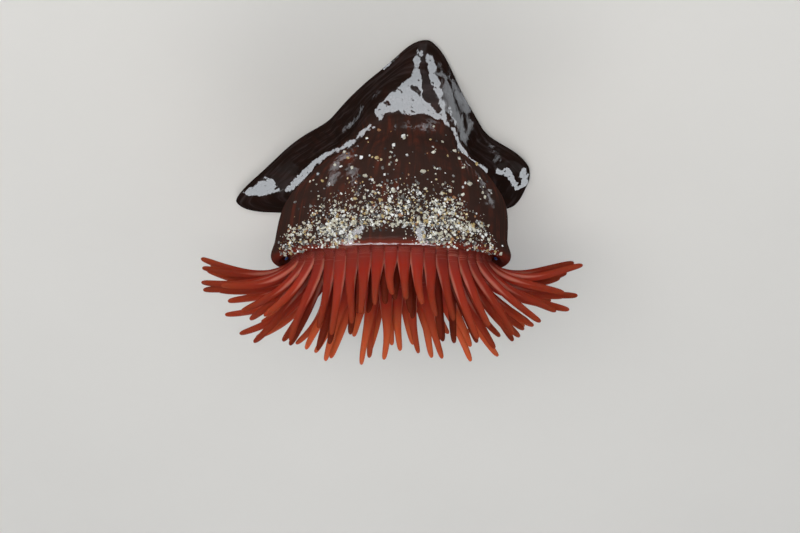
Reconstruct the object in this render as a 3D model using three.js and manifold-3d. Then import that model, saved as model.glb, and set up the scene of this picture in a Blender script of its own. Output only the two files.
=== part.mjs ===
// A beadlet anemone, Actinia equina, at life size: a soft column on a flat sticky foot, with an open
// crown of tentacles round its mouth. Millimetres, +Z up. The origin is on the floor, under the
// middle of the foot. The column is short behind and tall on its +Y side, so the crown tips to -Y.
import * as THREE from 'three';
import { mergeVertices } from 'three/addons/utils/BufferGeometryUtils.js';
import Module from 'manifold-3d';

const wasm = await Module();
wasm.setup();

// ---- Driving dimensions ----

const DEG = Math.PI / 180;
const FULL_TURN = 2 * Math.PI;
const GAP = 0.3; // room kept between two parts that are cut from the one body

// The foot is a rounded triangle, wedged to the shape of the crevice that it grew in. Each side
// faces an angle from +X, and lies this far from the origin.
const FOOT_SIDES = [
  { facing: 23 * DEG, reach: 16.8 },
  { facing: 138.5 * DEG, reach: 16.6 },
  { facing: 270 * DEG, reach: 12.2 },
];
const FOOT_CORNERS = 6.3; // the higher, the sharper its three corners
const FOOT_BULGES = [ // it swells out at one place, and is pressed in at two
  { facing: -5 * DEG, width: 16 * DEG, depth: 4.5 },
  { facing: 90 * DEG, width: 12 * DEG, depth: -1.5 },
  { facing: 141 * DEG, width: 21 * DEG, depth: -1.65 },
];
const FOOT_LOBES = [ // the faint uneven scallops along its margin
  { count: 5, depth: 0.35, turn: 1.0 },
  { count: 8, depth: 0.2, turn: 2.4 },
];

// Level rings up the column. Each has its centre and the angle that it leans by, the share of the
// foot's outline that is left in it, what that outline shrinks to, and the radius that it rounds to.
const COLUMN_LEVELS = [
  { name: 'sole', x: 0, y: 0, z: 0, lean: 0, footShare: 1, footScale: 0.965, radius: 15 },
  { name: 'margin', x: 0, y: 0, z: 0.9, lean: 0, footShare: 1, footScale: 1, radius: 15 },
  { name: 'brim', x: 0, y: 0, z: 2.1, lean: 0, footShare: 1, footScale: 0.97, radius: 15 },
  { name: 'skirt', x: 0, y: 0.3, z: 3.2, lean: 3, footShare: 0.95, footScale: 0.88, radius: 15 },
  { name: 'flare', x: 0.1, y: 1.2, z: 5.2, lean: 6, footShare: 0.68, footScale: 0.76, radius: 14.6 },
  { name: 'waist', x: 0.3, y: 2.8, z: 8.0, lean: 10, footShare: 0.36, footScale: 0.7, radius: 13.9 },
  { name: 'swell', x: 0.3, y: 3.7, z: 11.4, lean: 15, footShare: 0.16, footScale: 0.66, radius: 15.7 },
  { name: 'belly', x: 0.1, y: 3.9, z: 15.0, lean: 20, footShare: 0.08, footScale: 0.66, radius: 17.9 },
  { name: 'upper', x: -0.4, y: 3.5, z: 18.6, lean: 28, footShare: 0, footScale: 0.66, radius: 19.3 },
];
const RING_POINTS = 36;

// The near corner of the foot is drawn up as a flat ramp, as wide as the foot is there. At these
// levels the ramp's face lies this far from the level's centre, and has this share in the outline.
const RAMP = {
  facing: 90 * DEG,
  middle: 81 * DEG,
  width: 36 * DEG,
  rim: 0.97, // how much of the foot's own outline bounds it
  corners: 18,
  faces: {
    brim: { reach: 26.5, share: 0.3 },
    skirt: { reach: 24.0, share: 1 },
    flare: { reach: 20.5, share: 1 },
    waist: { reach: 16.0, share: 0.8 },
  },
};

// The crown's own frame: its middle is just above the lip of the collar, its Z is the way the mouth
// faces, and its Y points to the near side.
const CROWN_CENTRE = new THREE.Vector3(-1, -0.5, 28.1);
const CROWN_LEAN = 36 * DEG;
const CROWN_FLOOR = -4.2; // the level under the crown's parts
const CROWN_STEPS = 30;
const NECK_RADIUS = 19.7; // of the column where the crown sits on it

const COLLAR_RADIUS = 20.4;
const FOSSE = { inner: 17.3, outer: 18.5, depth: 2.4 }; // the groove between collar and tentacles
const BEADS = { count: 24, radius: 0.7, ring: 18.15, height: -2.0 }; // blue stinging beads
// The beads on the near side are small and sit deep. From and to are how far to +Y that begins and ends.
const DRAWN_IN_BEADS = { from: -0.6, to: -0.1, shrink: 0.35, drop: 0.55 };
const DISC_RADIUS = 10.8;
const MOUTH = { radius: 3.1, slitLength: 1.9, slitWidth: 0.6, lipHeight: -0.9, lipRound: 0.5 };

// The tentacles stand in four rings on the rim of the disc, the outermost ring first. Places are
// where they stand across each sector, as shares of its width. From is the place of their roots,
// and spread the share of the crown's own spread that they take.
const SECTORS = 12;
const SECTOR_START = 11 * DEG;
const TENTACLE_RINGS = [
  { places: [1 / 8, 3 / 8, 5 / 8, 7 / 8], from: [16.0, -1.25], radius: 1.0, length: 16.5, spread: 1.0 },
  { places: [1 / 4, 3 / 4], from: [14.2, -1.5], radius: 1.1, length: 18.0, spread: 0.85 },
  { places: [1 / 2], from: [12.5, -1.6], radius: 1.15, length: 18.5, spread: 0.7 },
  { places: [1 / 8], from: [12.4, -1.6], radius: 1.15, length: 17.0, spread: 0.52 },
];
const TIP_RADIUS = 0.48;
const TAPER = 1.1; // over 1, a tentacle keeps more of its thickness in its first half
const ROOT_SHARE = 0.42; // how much of its final bend a tentacle has at its root
const TENTACLE_SIDES = 5;
const TENTACLE_STATIONS = [0, 0.25, 0.58, 1]; // where along it its sections stand

// ---- Solids ----

function solidOf(geometry) {
  const bare = geometry.clone();
  bare.deleteAttribute('normal');
  bare.deleteAttribute('uv');
  const merged = mergeVertices(bare);
  const vertProperties = new Float32Array(merged.attributes.position.array);
  const triVerts = new Uint32Array(merged.index.array);
  return new wasm.Manifold(new wasm.Mesh({ numProp: 3, vertProperties, triVerts }));
}

function geometryOf(solid) {
  const { vertProperties, triVerts } = solid.getMesh();
  const geometry = new THREE.BufferGeometry();
  geometry.setAttribute('position', new THREE.BufferAttribute(vertProperties, 3));
  geometry.setIndex(new THREE.BufferAttribute(triVerts, 1));
  geometry.computeVertexNormals();
  return geometry;
}

// Joins rings of points, each counterclockwise as seen from the next ring, into one closed solid.
// Its ends are filled by the outline's triangles, or the last ring joins the first.
function loft(rings, outline, endless = false) {
  const count = outline.length;
  const index = [];
  const bands = endless ? rings.length : rings.length - 1;
  for (let i = 0; i < bands; i += 1) {
    const here = i * count;
    const next = ((i + 1) % rings.length) * count;
    for (let j = 0; j < count; j += 1) {
      const k = (j + 1) % count;
      index.push(here + j, here + k, next + k);
      index.push(here + j, next + k, next + j);
    }
  }
  if (!endless) {
    const last = (rings.length - 1) * count;
    for (const [a, b, c] of THREE.ShapeUtils.triangulateShape(outline, [])) {
      index.push(a, c, b);
      index.push(last + a, last + b, last + c);
    }
  }
  const geometry = new THREE.BufferGeometry().setFromPoints(rings.flat());
  geometry.setIndex(index);
  return geometry;
}

// The corners of a round section of radius 1.
function sectionOutline(sides) {
  const corners = [...Array(sides).keys()].map((i) => (i / sides) * FULL_TURN);
  return corners.map((turn) => new THREE.Vector2(Math.cos(turn), Math.sin(turn)));
}

// An outline of (radius, height) points, standing at an angle round the Z axis.
function turned(outline, angle) {
  return outline.map((p) => new THREE.Vector3(p.x * Math.cos(angle), p.x * Math.sin(angle), p.y));
}

// Turns a counterclockwise outline of (radius, height) points round the Z axis.
function revolve(outline, steps, from = 0, to = FULL_TURN) {
  const endless = to - from >= FULL_TURN;
  const rings = [];
  for (let i = endless ? 1 : 0; i <= steps; i += 1) {
    rings.push(turned(outline, to - (i / steps) * (to - from)));
  }
  return loft(rings, outline, endless);
}

function outlineOf(...pairs) {
  return pairs.map(([radius, height]) => new THREE.Vector2(radius, height));
}

function part(name, geometry, material) {
  geometry.computeVertexNormals();
  const mesh = new THREE.Mesh(geometry, material);
  mesh.name = name;
  return mesh;
}

function flesh(color, roughness) {
  return new THREE.MeshStandardMaterial({ color, roughness, metalness: 0 });
}

// ---- Foot and column ----

function footRadius(angle) {
  let sum = 0;
  for (const side of FOOT_SIDES) {
    const facing = Math.max(0, Math.cos(angle - side.facing));
    sum += (facing / side.reach) ** FOOT_CORNERS;
  }
  let radius = sum ** (-1 / FOOT_CORNERS);
  for (const bulge of FOOT_BULGES) {
    const off = Math.acos(Math.cos(angle - bulge.facing)) / bulge.width;
    radius += bulge.depth * Math.exp(-off * off);
  }
  for (const lobe of FOOT_LOBES) {
    radius += lobe.depth * Math.sin(lobe.count * angle + lobe.turn);
  }
  return radius;
}

function levelRadius(level, angle) {
  const foot = footRadius(angle);
  const plain = foot * level.footScale * level.footShare + level.radius * (1 - level.footShare);
  const face = RAMP.faces[level.name];
  if (!face) {
    return plain;
  }
  const facing = Math.max(0, Math.cos(angle - RAMP.facing));
  const inside = (1 / (foot * RAMP.rim)) ** RAMP.corners + (facing / face.reach) ** RAMP.corners;
  const ramp = inside ** (-1 / RAMP.corners);
  const off = Math.acos(Math.cos(angle - RAMP.middle)) / RAMP.width;
  return plain + (ramp - plain) * face.share * Math.exp(-(off ** 4));
}

function levelOutline(level) {
  const outline = [];
  for (let i = 0; i < RING_POINTS; i += 1) {
    const angle = (i / RING_POINTS) * FULL_TURN;
    const radius = levelRadius(level, angle);
    outline.push(new THREE.Vector2(radius * Math.cos(angle), radius * Math.sin(angle)));
  }
  return outline;
}

function levelRing(level, lift) {
  const turn = new THREE.Matrix4().makeRotationX(level.lean * DEG);
  const centre = new THREE.Vector3(level.x, level.y, level.z);
  return levelOutline(level).map((p) => new THREE.Vector3(p.x, p.y, lift).applyMatrix4(turn).add(centre));
}

// The column's last level, square to the crown and just under it.
function neckLevel() {
  const axis = new THREE.Vector3(0, -Math.sin(CROWN_LEAN), Math.cos(CROWN_LEAN));
  const { x, y, z } = CROWN_CENTRE.clone().addScaledVector(axis, CROWN_FLOOR - GAP);
  return { name: 'neck', x, y, z, lean: CROWN_LEAN / DEG, footShare: 0, footScale: 0, radius: NECK_RADIUS };
}

// One length of the column between two named levels. Its lower end is lifted off the length below.
function columnLength(from, to) {
  const levels = [...COLUMN_LEVELS, neckLevel()];
  const first = levels.findIndex((level) => level.name === from);
  const last = levels.findIndex((level) => level.name === to);
  const rings = [];
  for (let i = first; i <= last; i += 1) {
    const lift = i === first && first > 0 ? GAP : 0;
    rings.push(levelRing(levels[i], lift));
  }
  return loft(rings, levelOutline(levels[first]));
}

// ---- Collar, disc and mouth, in the crown's frame ----

function collar() {
  const outline = outlineOf(
    [FOSSE.inner, CROWN_FLOOR],
    [NECK_RADIUS + 0.1, CROWN_FLOOR],
    [COLLAR_RADIUS, CROWN_FLOOR + 2.0],
    [COLLAR_RADIUS - 0.35, -1.45],
    [COLLAR_RADIUS - 1.1, -1.05],
    [FOSSE.outer, -1.35],
    [FOSSE.outer - 0.2, -FOSSE.depth],
    [FOSSE.inner, -FOSSE.depth - 0.2],
  );
  const { from, to, shrink, drop } = DRAWN_IN_BEADS;
  let solid = solidOf(revolve(outline, CROWN_STEPS));
  for (let i = 0; i < BEADS.count; i += 1) {
    const angle = ((i + 0.5) / BEADS.count) * FULL_TURN;
    const deep = THREE.MathUtils.smoothstep(Math.sin(angle), from, to);
    const bead = new THREE.IcosahedronGeometry(BEADS.radius * (1 - shrink * deep), 0);
    const height = BEADS.height - drop * deep;
    bead.rotateZ(angle);
    bead.translate(BEADS.ring * Math.cos(angle), BEADS.ring * Math.sin(angle), height);
    solid = solid.add(solidOf(bead));
  }
  return geometryOf(solid);
}

function oralDisc() {
  const hole = MOUTH.radius + GAP;
  const outline = outlineOf(
    [hole, CROWN_FLOOR],
    [DISC_RADIUS, CROWN_FLOOR],
    [DISC_RADIUS, -1.9],
    [DISC_RADIUS * 0.75, -2.4],
    [DISC_RADIUS * 0.5, -2.2],
    [hole, -1.8],
  );
  return revolve(outline, CROWN_STEPS);
}

// The lips are one thick ring, round outside, with a slit down its middle.
function mouth() {
  const { radius, slitLength, slitWidth, lipHeight, lipRound } = MOUTH;
  const lipSection = (slit) => outlineOf(
    [slit, CROWN_FLOOR],
    [radius, CROWN_FLOOR],
    [radius, lipHeight - lipRound],
    [radius - lipRound, lipHeight],
    [slit + lipRound, lipHeight],
    [slit, lipHeight - lipRound],
  );
  const steps = CROWN_STEPS / 2;
  const rings = [];
  for (let i = steps; i > 0; i -= 1) {
    const angle = (i / steps) * FULL_TURN;
    const across = Math.hypot(slitWidth * Math.cos(angle), slitLength * Math.sin(angle));
    const slit = (slitLength * slitWidth) / across;
    rings.push(turned(lipSection(slit), angle));
  }
  return loft(rings, lipSection(slitWidth), true);
}

// ---- Tentacles, in the crown's frame ----

// A repeatable number from -1 to 1 for the tentacle with this ring and place in the ring.
function chance(ring, place, salt) {
  const wave = Math.sin(ring * 78.233 + place * 12.9898 + salt * 37.719) * 43758.5453;
  return 2 * (wave - Math.floor(wave)) - 1;
}

// How far the crown's outer tentacles end up bent from its axis: flat out and beyond at the two
// sides, nearly upright on the near side, and half way on the far side.
function crownSpread(angle) {
  const aside = 70 * Math.cos(angle) ** 6;
  const beyond = 14 * Math.max(0, -Math.cos(angle)) ** 6;
  return (36 - 22 * Math.sin(angle) + aside + beyond) * DEG;
}

// The tentacles in the middle of the near side are drawn in short, and some on the far left are long.
function crownReach(angle) {
  const off = Math.acos(Math.sin(angle)) / (24 * DEG);
  const long = Math.acos(Math.cos(angle - 209 * DEG)) / (10 * DEG);
  const drawnIn = 0.44 * Math.exp(-off * off);
  return 0.94 + 0.06 * Math.cos(angle) ** 6 - drawnIn + 0.15 * Math.exp(-long * long);
}

// The way that a tentacle runs at a share of its length. It bends away from the axis as it goes.
function headingAt(share, angle, spread, sway) {
  const lean = spread * (1 - (1 - ROOT_SHARE) * (1 - share) ** 2);
  const heading = angle + sway * share;
  const out = Math.sin(lean);
  return new THREE.Vector3(out * Math.cos(heading), out * Math.sin(heading), Math.cos(lean));
}

function tentacle(ringNumber, place, angle) {
  const ring = TENTACLE_RINGS[ringNumber];
  const length = ring.length * crownReach(angle) * (1 + 0.1 * chance(ringNumber, place, 1));
  const spread = crownSpread(angle) * ring.spread + 8 * DEG * chance(ringNumber, place, 2);
  const sway = 9 * DEG * chance(ringNumber, place, 3);
  const across = new THREE.Vector3(-Math.sin(angle), Math.cos(angle), 0);
  const [distance, height] = ring.from;
  const point = new THREE.Vector3(distance * Math.cos(angle), distance * Math.sin(angle), height);
  const outline = sectionOutline(TENTACLE_SIDES);
  const rings = TENTACLE_STATIONS.map((share, i) => {
    const before = TENTACLE_STATIONS[Math.max(0, i - 1)];
    const course = headingAt((before + share) / 2, angle, spread, sway);
    point.addScaledVector(course, length * (share - before));
    const along = headingAt(share, angle, spread, sway);
    const up = new THREE.Vector3().crossVectors(along, across).normalize();
    const side = new THREE.Vector3().crossVectors(up, along);
    const radius = ring.radius + (TIP_RADIUS - ring.radius) * share ** TAPER;
    return outline.map((p) => {
      const onSide = point.clone().addScaledVector(side, p.x * radius);
      return onSide.addScaledVector(up, p.y * radius);
    });
  });
  return loft(rings, outline);
}

// One sector of the disc's rim, with the tentacles that grow from it. It is trimmed to its own
// slice of the crown, so that it doesn't cross into the next sector.
function tentacleSector(number) {
  const span = FULL_TURN / SECTORS;
  const margin = 0.7 * DEG;
  const start = SECTOR_START + number * span;
  const from = start + margin;
  const to = start + span - margin;
  const rim = outlineOf(
    [DISC_RADIUS + GAP, CROWN_FLOOR],
    [FOSSE.inner - GAP, CROWN_FLOOR],
    [FOSSE.inner - GAP, -1.6],
    [FOSSE.inner - 1.2, -0.9],
    [DISC_RADIUS + 2.2, -1.2],
    [DISC_RADIUS + GAP, -1.9],
  );
  let solid = solidOf(revolve(rim, 2, from, to));
  TENTACLE_RINGS.forEach((ring, ringNumber) => {
    ring.places.forEach((share, i) => {
      const place = number * ring.places.length + i;
      solid = solid.add(solidOf(tentacle(ringNumber, place, start + share * span)));
    });
  });
  const slice = outlineOf([1, CROWN_FLOOR], [60, CROWN_FLOOR], [60, 30], [1, 30]);
  const trimmed = solid.intersect(solidOf(revolve(slice, 2, from, to)));
  const bodies = trimmed.decompose();
  bodies.sort((a, b) => b.volume() - a.volume());
  return geometryOf(bodies[0]);
}

// ---- The whole animal ----

const DARK_SKIN = flesh(0x40231d, 0.25);
const FOOT_SKIN = flesh(0x30231f, 0.3);
const COLLAR_SKIN = flesh(0x5a2a20, 0.3);
const TENTACLE_FLESH = flesh(0x9a3a24, 0.45);
const DISC_FLESH = flesh(0x6b2a1e, 0.5);

const anemone = new THREE.Group();
anemone.add(part('pedal_disc', columnLength('sole', 'skirt'), FOOT_SKIN));
anemone.add(part('column_foot', columnLength('skirt', 'waist'), FOOT_SKIN));
anemone.add(part('column_lower', columnLength('waist', 'belly'), DARK_SKIN));
anemone.add(part('column_upper', columnLength('belly', 'neck'), DARK_SKIN));

const crown = new THREE.Group();
crown.position.copy(CROWN_CENTRE);
crown.rotation.x = CROWN_LEAN;
crown.add(part('collar', collar(), COLLAR_SKIN));
crown.add(part('oral_disc', oralDisc(), DISC_FLESH));
crown.add(part('mouth', mouth(), DISC_FLESH));
for (let i = 0; i < SECTORS; i += 1) {
  const number = String(i + 1).padStart(2, '0');
  crown.add(part(`tentacles_${number}`, tentacleSector(i), TENTACLE_FLESH));
}
anemone.add(crown);

export default anemone;
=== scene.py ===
"""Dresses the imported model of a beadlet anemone, Actinia equina, as a still museum model.

The animal is one soft body, so one skin covers it all, from the sole of its foot to the tips of
its tentacles. Blue stinging beads sit in the groove round the tentacles, and grains of sand cling
to the wet column. Lengths in the classes are in millimetres and angles in degrees, as in the
part's own source. They turn into metres where a mesh is placed.
"""

import logging
import math
import random
from collections.abc import Callable
from dataclasses import dataclass, field
from enum import Enum, IntEnum

import bmesh
import bpy
from mathutils import Matrix, Vector, noise
from mathutils.bvhtree import BVHTree
from mathutils.geometry import intersect_point_line


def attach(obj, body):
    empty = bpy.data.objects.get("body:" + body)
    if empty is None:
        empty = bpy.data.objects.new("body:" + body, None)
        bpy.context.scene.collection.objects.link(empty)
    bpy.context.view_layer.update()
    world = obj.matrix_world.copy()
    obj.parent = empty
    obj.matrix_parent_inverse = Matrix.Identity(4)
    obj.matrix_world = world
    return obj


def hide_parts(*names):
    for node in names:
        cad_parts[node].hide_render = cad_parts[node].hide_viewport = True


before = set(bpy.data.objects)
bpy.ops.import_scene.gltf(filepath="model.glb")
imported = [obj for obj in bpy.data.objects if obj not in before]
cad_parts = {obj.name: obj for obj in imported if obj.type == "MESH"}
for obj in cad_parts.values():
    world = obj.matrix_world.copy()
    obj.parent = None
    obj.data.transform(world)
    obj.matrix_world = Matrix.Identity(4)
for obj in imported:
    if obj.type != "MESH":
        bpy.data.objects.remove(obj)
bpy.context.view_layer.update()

LOG = logging.getLogger("anemone")
MM = 0.001
FULL_TURN = 2.0 * math.pi
BODY = "root"
WATER_IOR = 1.33
CHANCE_STEPS = (78.233, 12.9898, 37.719)  # no simple fractions, so that neighbours differ
CHANCE_SPREAD = 43758.5453

Socket = bpy.types.NodeSocket
Pair = tuple[float, float]
Triple = tuple[float, float, float]


# ---- Small tools ----


def linear(code: str) -> Triple:
    """Turn a colour code such as 8a3a22 into linear red, green and blue.

    Args:
        code: six hexadecimal digits of an sRGB colour.

    Returns:
        The three linear values, from 0 to 1.
    """
    values = []
    for start in (0, 2, 4):
        share = int(code[start:start + 2], 16) / 255
        values.append(share / 12.92 if share <= 0.04045 else ((share + 0.055) / 1.055) ** 2.4)
    return tuple(values)


def chance(ring: int, place: int, salt: int) -> float:
    """Give a repeatable number from -1 to 1.

    Args:
        ring: number of the ring that a tentacle or bead stands in.
        place: its place in that ring.
        salt: a number that tells one use from another.

    Returns:
        The same number each time for the same three.
    """
    ring_step, place_step, salt_step = CHANCE_STEPS
    wave = math.sin(ring * ring_step + place * place_step + salt * salt_step) * CHANCE_SPREAD
    return 2 * (wave - math.floor(wave)) - 1


def smooth_step(low: float, high: float, value: float) -> float:
    """Rise smoothly from 0 at low to 1 at high, as value does."""
    share = min(1.0, max(0.0, (value - low) / (high - low)))
    return share * share * (3 - 2 * share)


def apart(angle: float, facing: float) -> float:
    """Find how far an angle in radians is from a facing in degrees, in radians from 0 to pi."""
    return math.acos(math.cos(angle - math.radians(facing)))


def new_object(add: Callable[..., object], name: str, **settings: object) -> bpy.types.Object:
    """Add a primitive with nothing else selected.

    Args:
        add: the operator that adds it.
        name: the name that the object and its mesh get.
        settings: what the operator is told.

    Returns:
        The new object, which is the active one.
    """
    bpy.ops.object.select_all(action="DESELECT")
    add(**settings)
    piece = bpy.context.object
    piece.name = name
    piece.data.name = name
    return piece


def link_new(name: str, data: bpy.types.ID) -> bpy.types.Object:
    """Make an object of some data and put it in the scene.

    Args:
        name: the object's name.
        data: its mesh, light or camera.

    Returns:
        The object.
    """
    made = bpy.data.objects.new(name, data)
    bpy.context.scene.collection.objects.link(made)
    return made


def select_only(*pieces: bpy.types.Object) -> None:
    """Select these pieces and nothing else, with the first one active.

    Args:
        pieces: the objects.
    """
    bpy.ops.object.select_all(action="DESELECT")
    for piece in pieces:
        piece.select_set(True)
    bpy.context.view_layer.objects.active = pieces[0]


def apply_modifier(piece: bpy.types.Object, kind: str, **settings: object) -> None:
    """Add a modifier to a piece and apply it.

    Args:
        piece: the object that gets it.
        kind: the modifier's type.
        settings: its properties.
    """
    select_only(piece)
    modifier = piece.modifiers.new(kind.title(), kind)
    for key, value in settings.items():
        setattr(modifier, key, value)
    bpy.ops.object.modifier_apply(modifier=modifier.name)


def settle(piece: bpy.types.Object, slot: str, material: bpy.types.Material) -> None:
    """Give a finished piece its material and its body, and log the record's slot that it belongs
    to.

    Args:
        piece: the finished object, with its place in its mesh.
        slot: the name of the record's material slot, which is only logged.
        material: the material that covers it.
    """
    piece.data.materials.clear()
    piece.data.materials.append(material)
    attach(piece, BODY)
    LOG.info("%s: %d faces, on the slot %s", piece.name, len(piece.data.polygons), slot)


# ---- Finishes ----


class Bench:
    """Lays out the nodes of one material, from left to right."""

    def __init__(self, name: str) -> None:
        """Start a material with its Principled shader."""
        self.material = bpy.data.materials.new(name)
        self.material.use_nodes = True
        self.tree = self.material.node_tree
        self.shader = self.tree.nodes["Principled BSDF"]

    def node(self, kind: str, **settings: object) -> bpy.types.Node:
        """Add a node.

        Args:
            kind: its type.
            settings: its properties.

        Returns:
            The node.
        """
        made = self.tree.nodes.new(kind)
        for key, value in settings.items():
            setattr(made, key, value)
        return made

    def feed(self, socket: Socket, value: object) -> None:
        """Link a socket to another one, or set it to a number, colour or vector.

        Args:
            socket: the input that is fed.
            value: an output to link, or what the input is set to.
        """
        if isinstance(value, Socket):
            self.tree.links.new(value, socket)
        elif isinstance(value, tuple) and len(value) == 3 and len(socket.default_value) == 4:
            socket.default_value = (*value, 1.0)
        else:
            socket.default_value = value

    def attribute(self, name: str) -> Socket:
        """Read a number that each point of the mesh carries."""
        return self.node("ShaderNodeAttribute", attribute_name=name).outputs["Fac"]

    def direction(self, name: str) -> Socket:
        """Read a vector that each point of the mesh carries."""
        return self.node("ShaderNodeAttribute", attribute_name=name).outputs["Vector"]

    def place(self) -> Socket:
        """Read the point's own place in the object, in metres."""
        return self.node("ShaderNodeTexCoord").outputs["Object"]

    def scaled(self, vector: Socket, scale: Triple) -> Socket:
        """Stretch a vector.

        Args:
            vector: the vector.
            scale: its scale on each axis.

        Returns:
            The stretched vector.
        """
        mapping = self.node("ShaderNodeMapping")
        self.feed(mapping.inputs["Vector"], vector)
        mapping.inputs["Scale"].default_value = scale
        return mapping.outputs["Vector"]

    def cloud(self, vector: Socket, scale: float, detail: float = 3.0,
              roughness: float = 0.5, distortion: float = 0.0) -> Socket:
        """Make noise from 0 to 1 over a vector.

        Args:
            vector: where the noise is read.
            scale: how many cells it has for each unit.
            detail: its octaves.
            roughness: how strong the finer octaves are.
            distortion: how far it is stirred.

        Returns:
            The noise's value.
        """
        made = self.node("ShaderNodeTexNoise")
        self.feed(made.inputs["Vector"], vector)
        made.inputs["Scale"].default_value = scale
        made.inputs["Detail"].default_value = detail
        made.inputs["Roughness"].default_value = roughness
        made.inputs["Distortion"].default_value = distortion
        return made.outputs["Fac"]

    def sums(self, operation: str, *values: object) -> Socket:
        """Work out a sum.

        Args:
            operation: the Math node's operation.
            values: its one, two or three numbers or sockets.

        Returns:
            The result.
        """
        made = self.node("ShaderNodeMath", operation=operation)
        for socket, value in zip(made.inputs, values):
            self.feed(socket, value)
        return made.outputs["Value"]

    def product(self, first: object, second: object) -> Socket:
        """Multiply two numbers or sockets."""
        return self.sums("MULTIPLY", first, second)

    def span(self, value: object, low: float, high: float, start: float = 0.0,
             end: float = 1.0, smooth: bool = True) -> Socket:
        """Move a value's range, from low and high to start and end, and hold it there.

        Args:
            value: what is moved.
            low: the value that becomes start.
            high: the value that becomes end.
            start: the first number of the new range.
            end: the last number of the new range.
            smooth: whether it eases in and out.

        Returns:
            The moved value.
        """
        kind = "SMOOTHSTEP" if smooth else "LINEAR"
        made = self.node("ShaderNodeMapRange", interpolation_type=kind, clamp=True)
        for socket, number in zip(made.inputs, (value, low, high, start, end)):
            self.feed(socket, number)
        return made.outputs["Result"]

    def blend(self, share: object, first: object, second: object) -> Socket:
        """Blend two colours.

        Args:
            share: how much of the second there is.
            first: a colour or a socket.
            second: a colour or a socket.

        Returns:
            The blended colour.
        """
        made = self.node("ShaderNodeMix", data_type="RGBA")
        self.feed(made.inputs[0], share)
        self.feed(made.inputs[6], first)
        self.feed(made.inputs[7], second)
        return made.outputs[2]

    def ramp(self, value: object, *stops: tuple[float, str], sharp: bool = False) -> Socket:
        """Turn a value into a colour.

        Args:
            value: a number from 0 to 1.
            stops: the places along it, each with its colour code.
            sharp: whether each colour runs unblended to the next stop.

        Returns:
            The colour.
        """
        made = self.node("ShaderNodeValToRGB")
        made.color_ramp.interpolation = "CONSTANT" if sharp else "LINEAR"
        while len(made.color_ramp.elements) < len(stops):
            made.color_ramp.elements.new(1.0)
        for element, (position, code) in zip(made.color_ramp.elements, stops):
            element.position = position
            element.color = (*linear(code), 1.0)
        self.feed(made.inputs["Fac"], value)
        return made.outputs["Color"]

    def bump(self, height: Socket, depth: float, strength: float,
             normal: object = None) -> Socket:
        """Raise the surface by a height from 0 to 1.

        Args:
            height: how high each point is.
            depth: what a height of 1 comes to, in millimetres.
            strength: how much of it shows.
            normal: a bumped normal that this one adds to.

        Returns:
            The bumped normal.
        """
        made = self.node("ShaderNodeBump")
        made.inputs["Strength"].default_value = strength
        made.inputs["Distance"].default_value = depth * MM
        self.feed(made.inputs["Height"], height)
        if normal is not None:
            self.feed(made.inputs["Normal"], normal)
        return made.outputs["Normal"]

    def lean(self, share: object, normal: object, way: Triple) -> Socket:
        """Turn a normal part of the way to a fixed direction.

        Args:
            share: how far it turns, from 0 to 1.
            normal: the normal that turns.
            way: the direction that it turns to.

        Returns:
            The turned normal.
        """
        mixed = self.node("ShaderNodeMix", data_type="VECTOR")
        self.feed(mixed.inputs[0], share)
        self.feed(mixed.inputs[4], normal)
        self.feed(mixed.inputs[5], Vector(way).normalized())
        made = self.node("ShaderNodeVectorMath", operation="NORMALIZE")
        self.feed(made.inputs[0], mixed.outputs[1])
        return made.outputs["Vector"]

    def set_shader(self, **values: object) -> None:
        """Set the shader's sockets, with each name's spaces written as underscores."""
        for key, value in values.items():
            self.feed(self.shader.inputs[key.replace("_", " ")], value)


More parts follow.
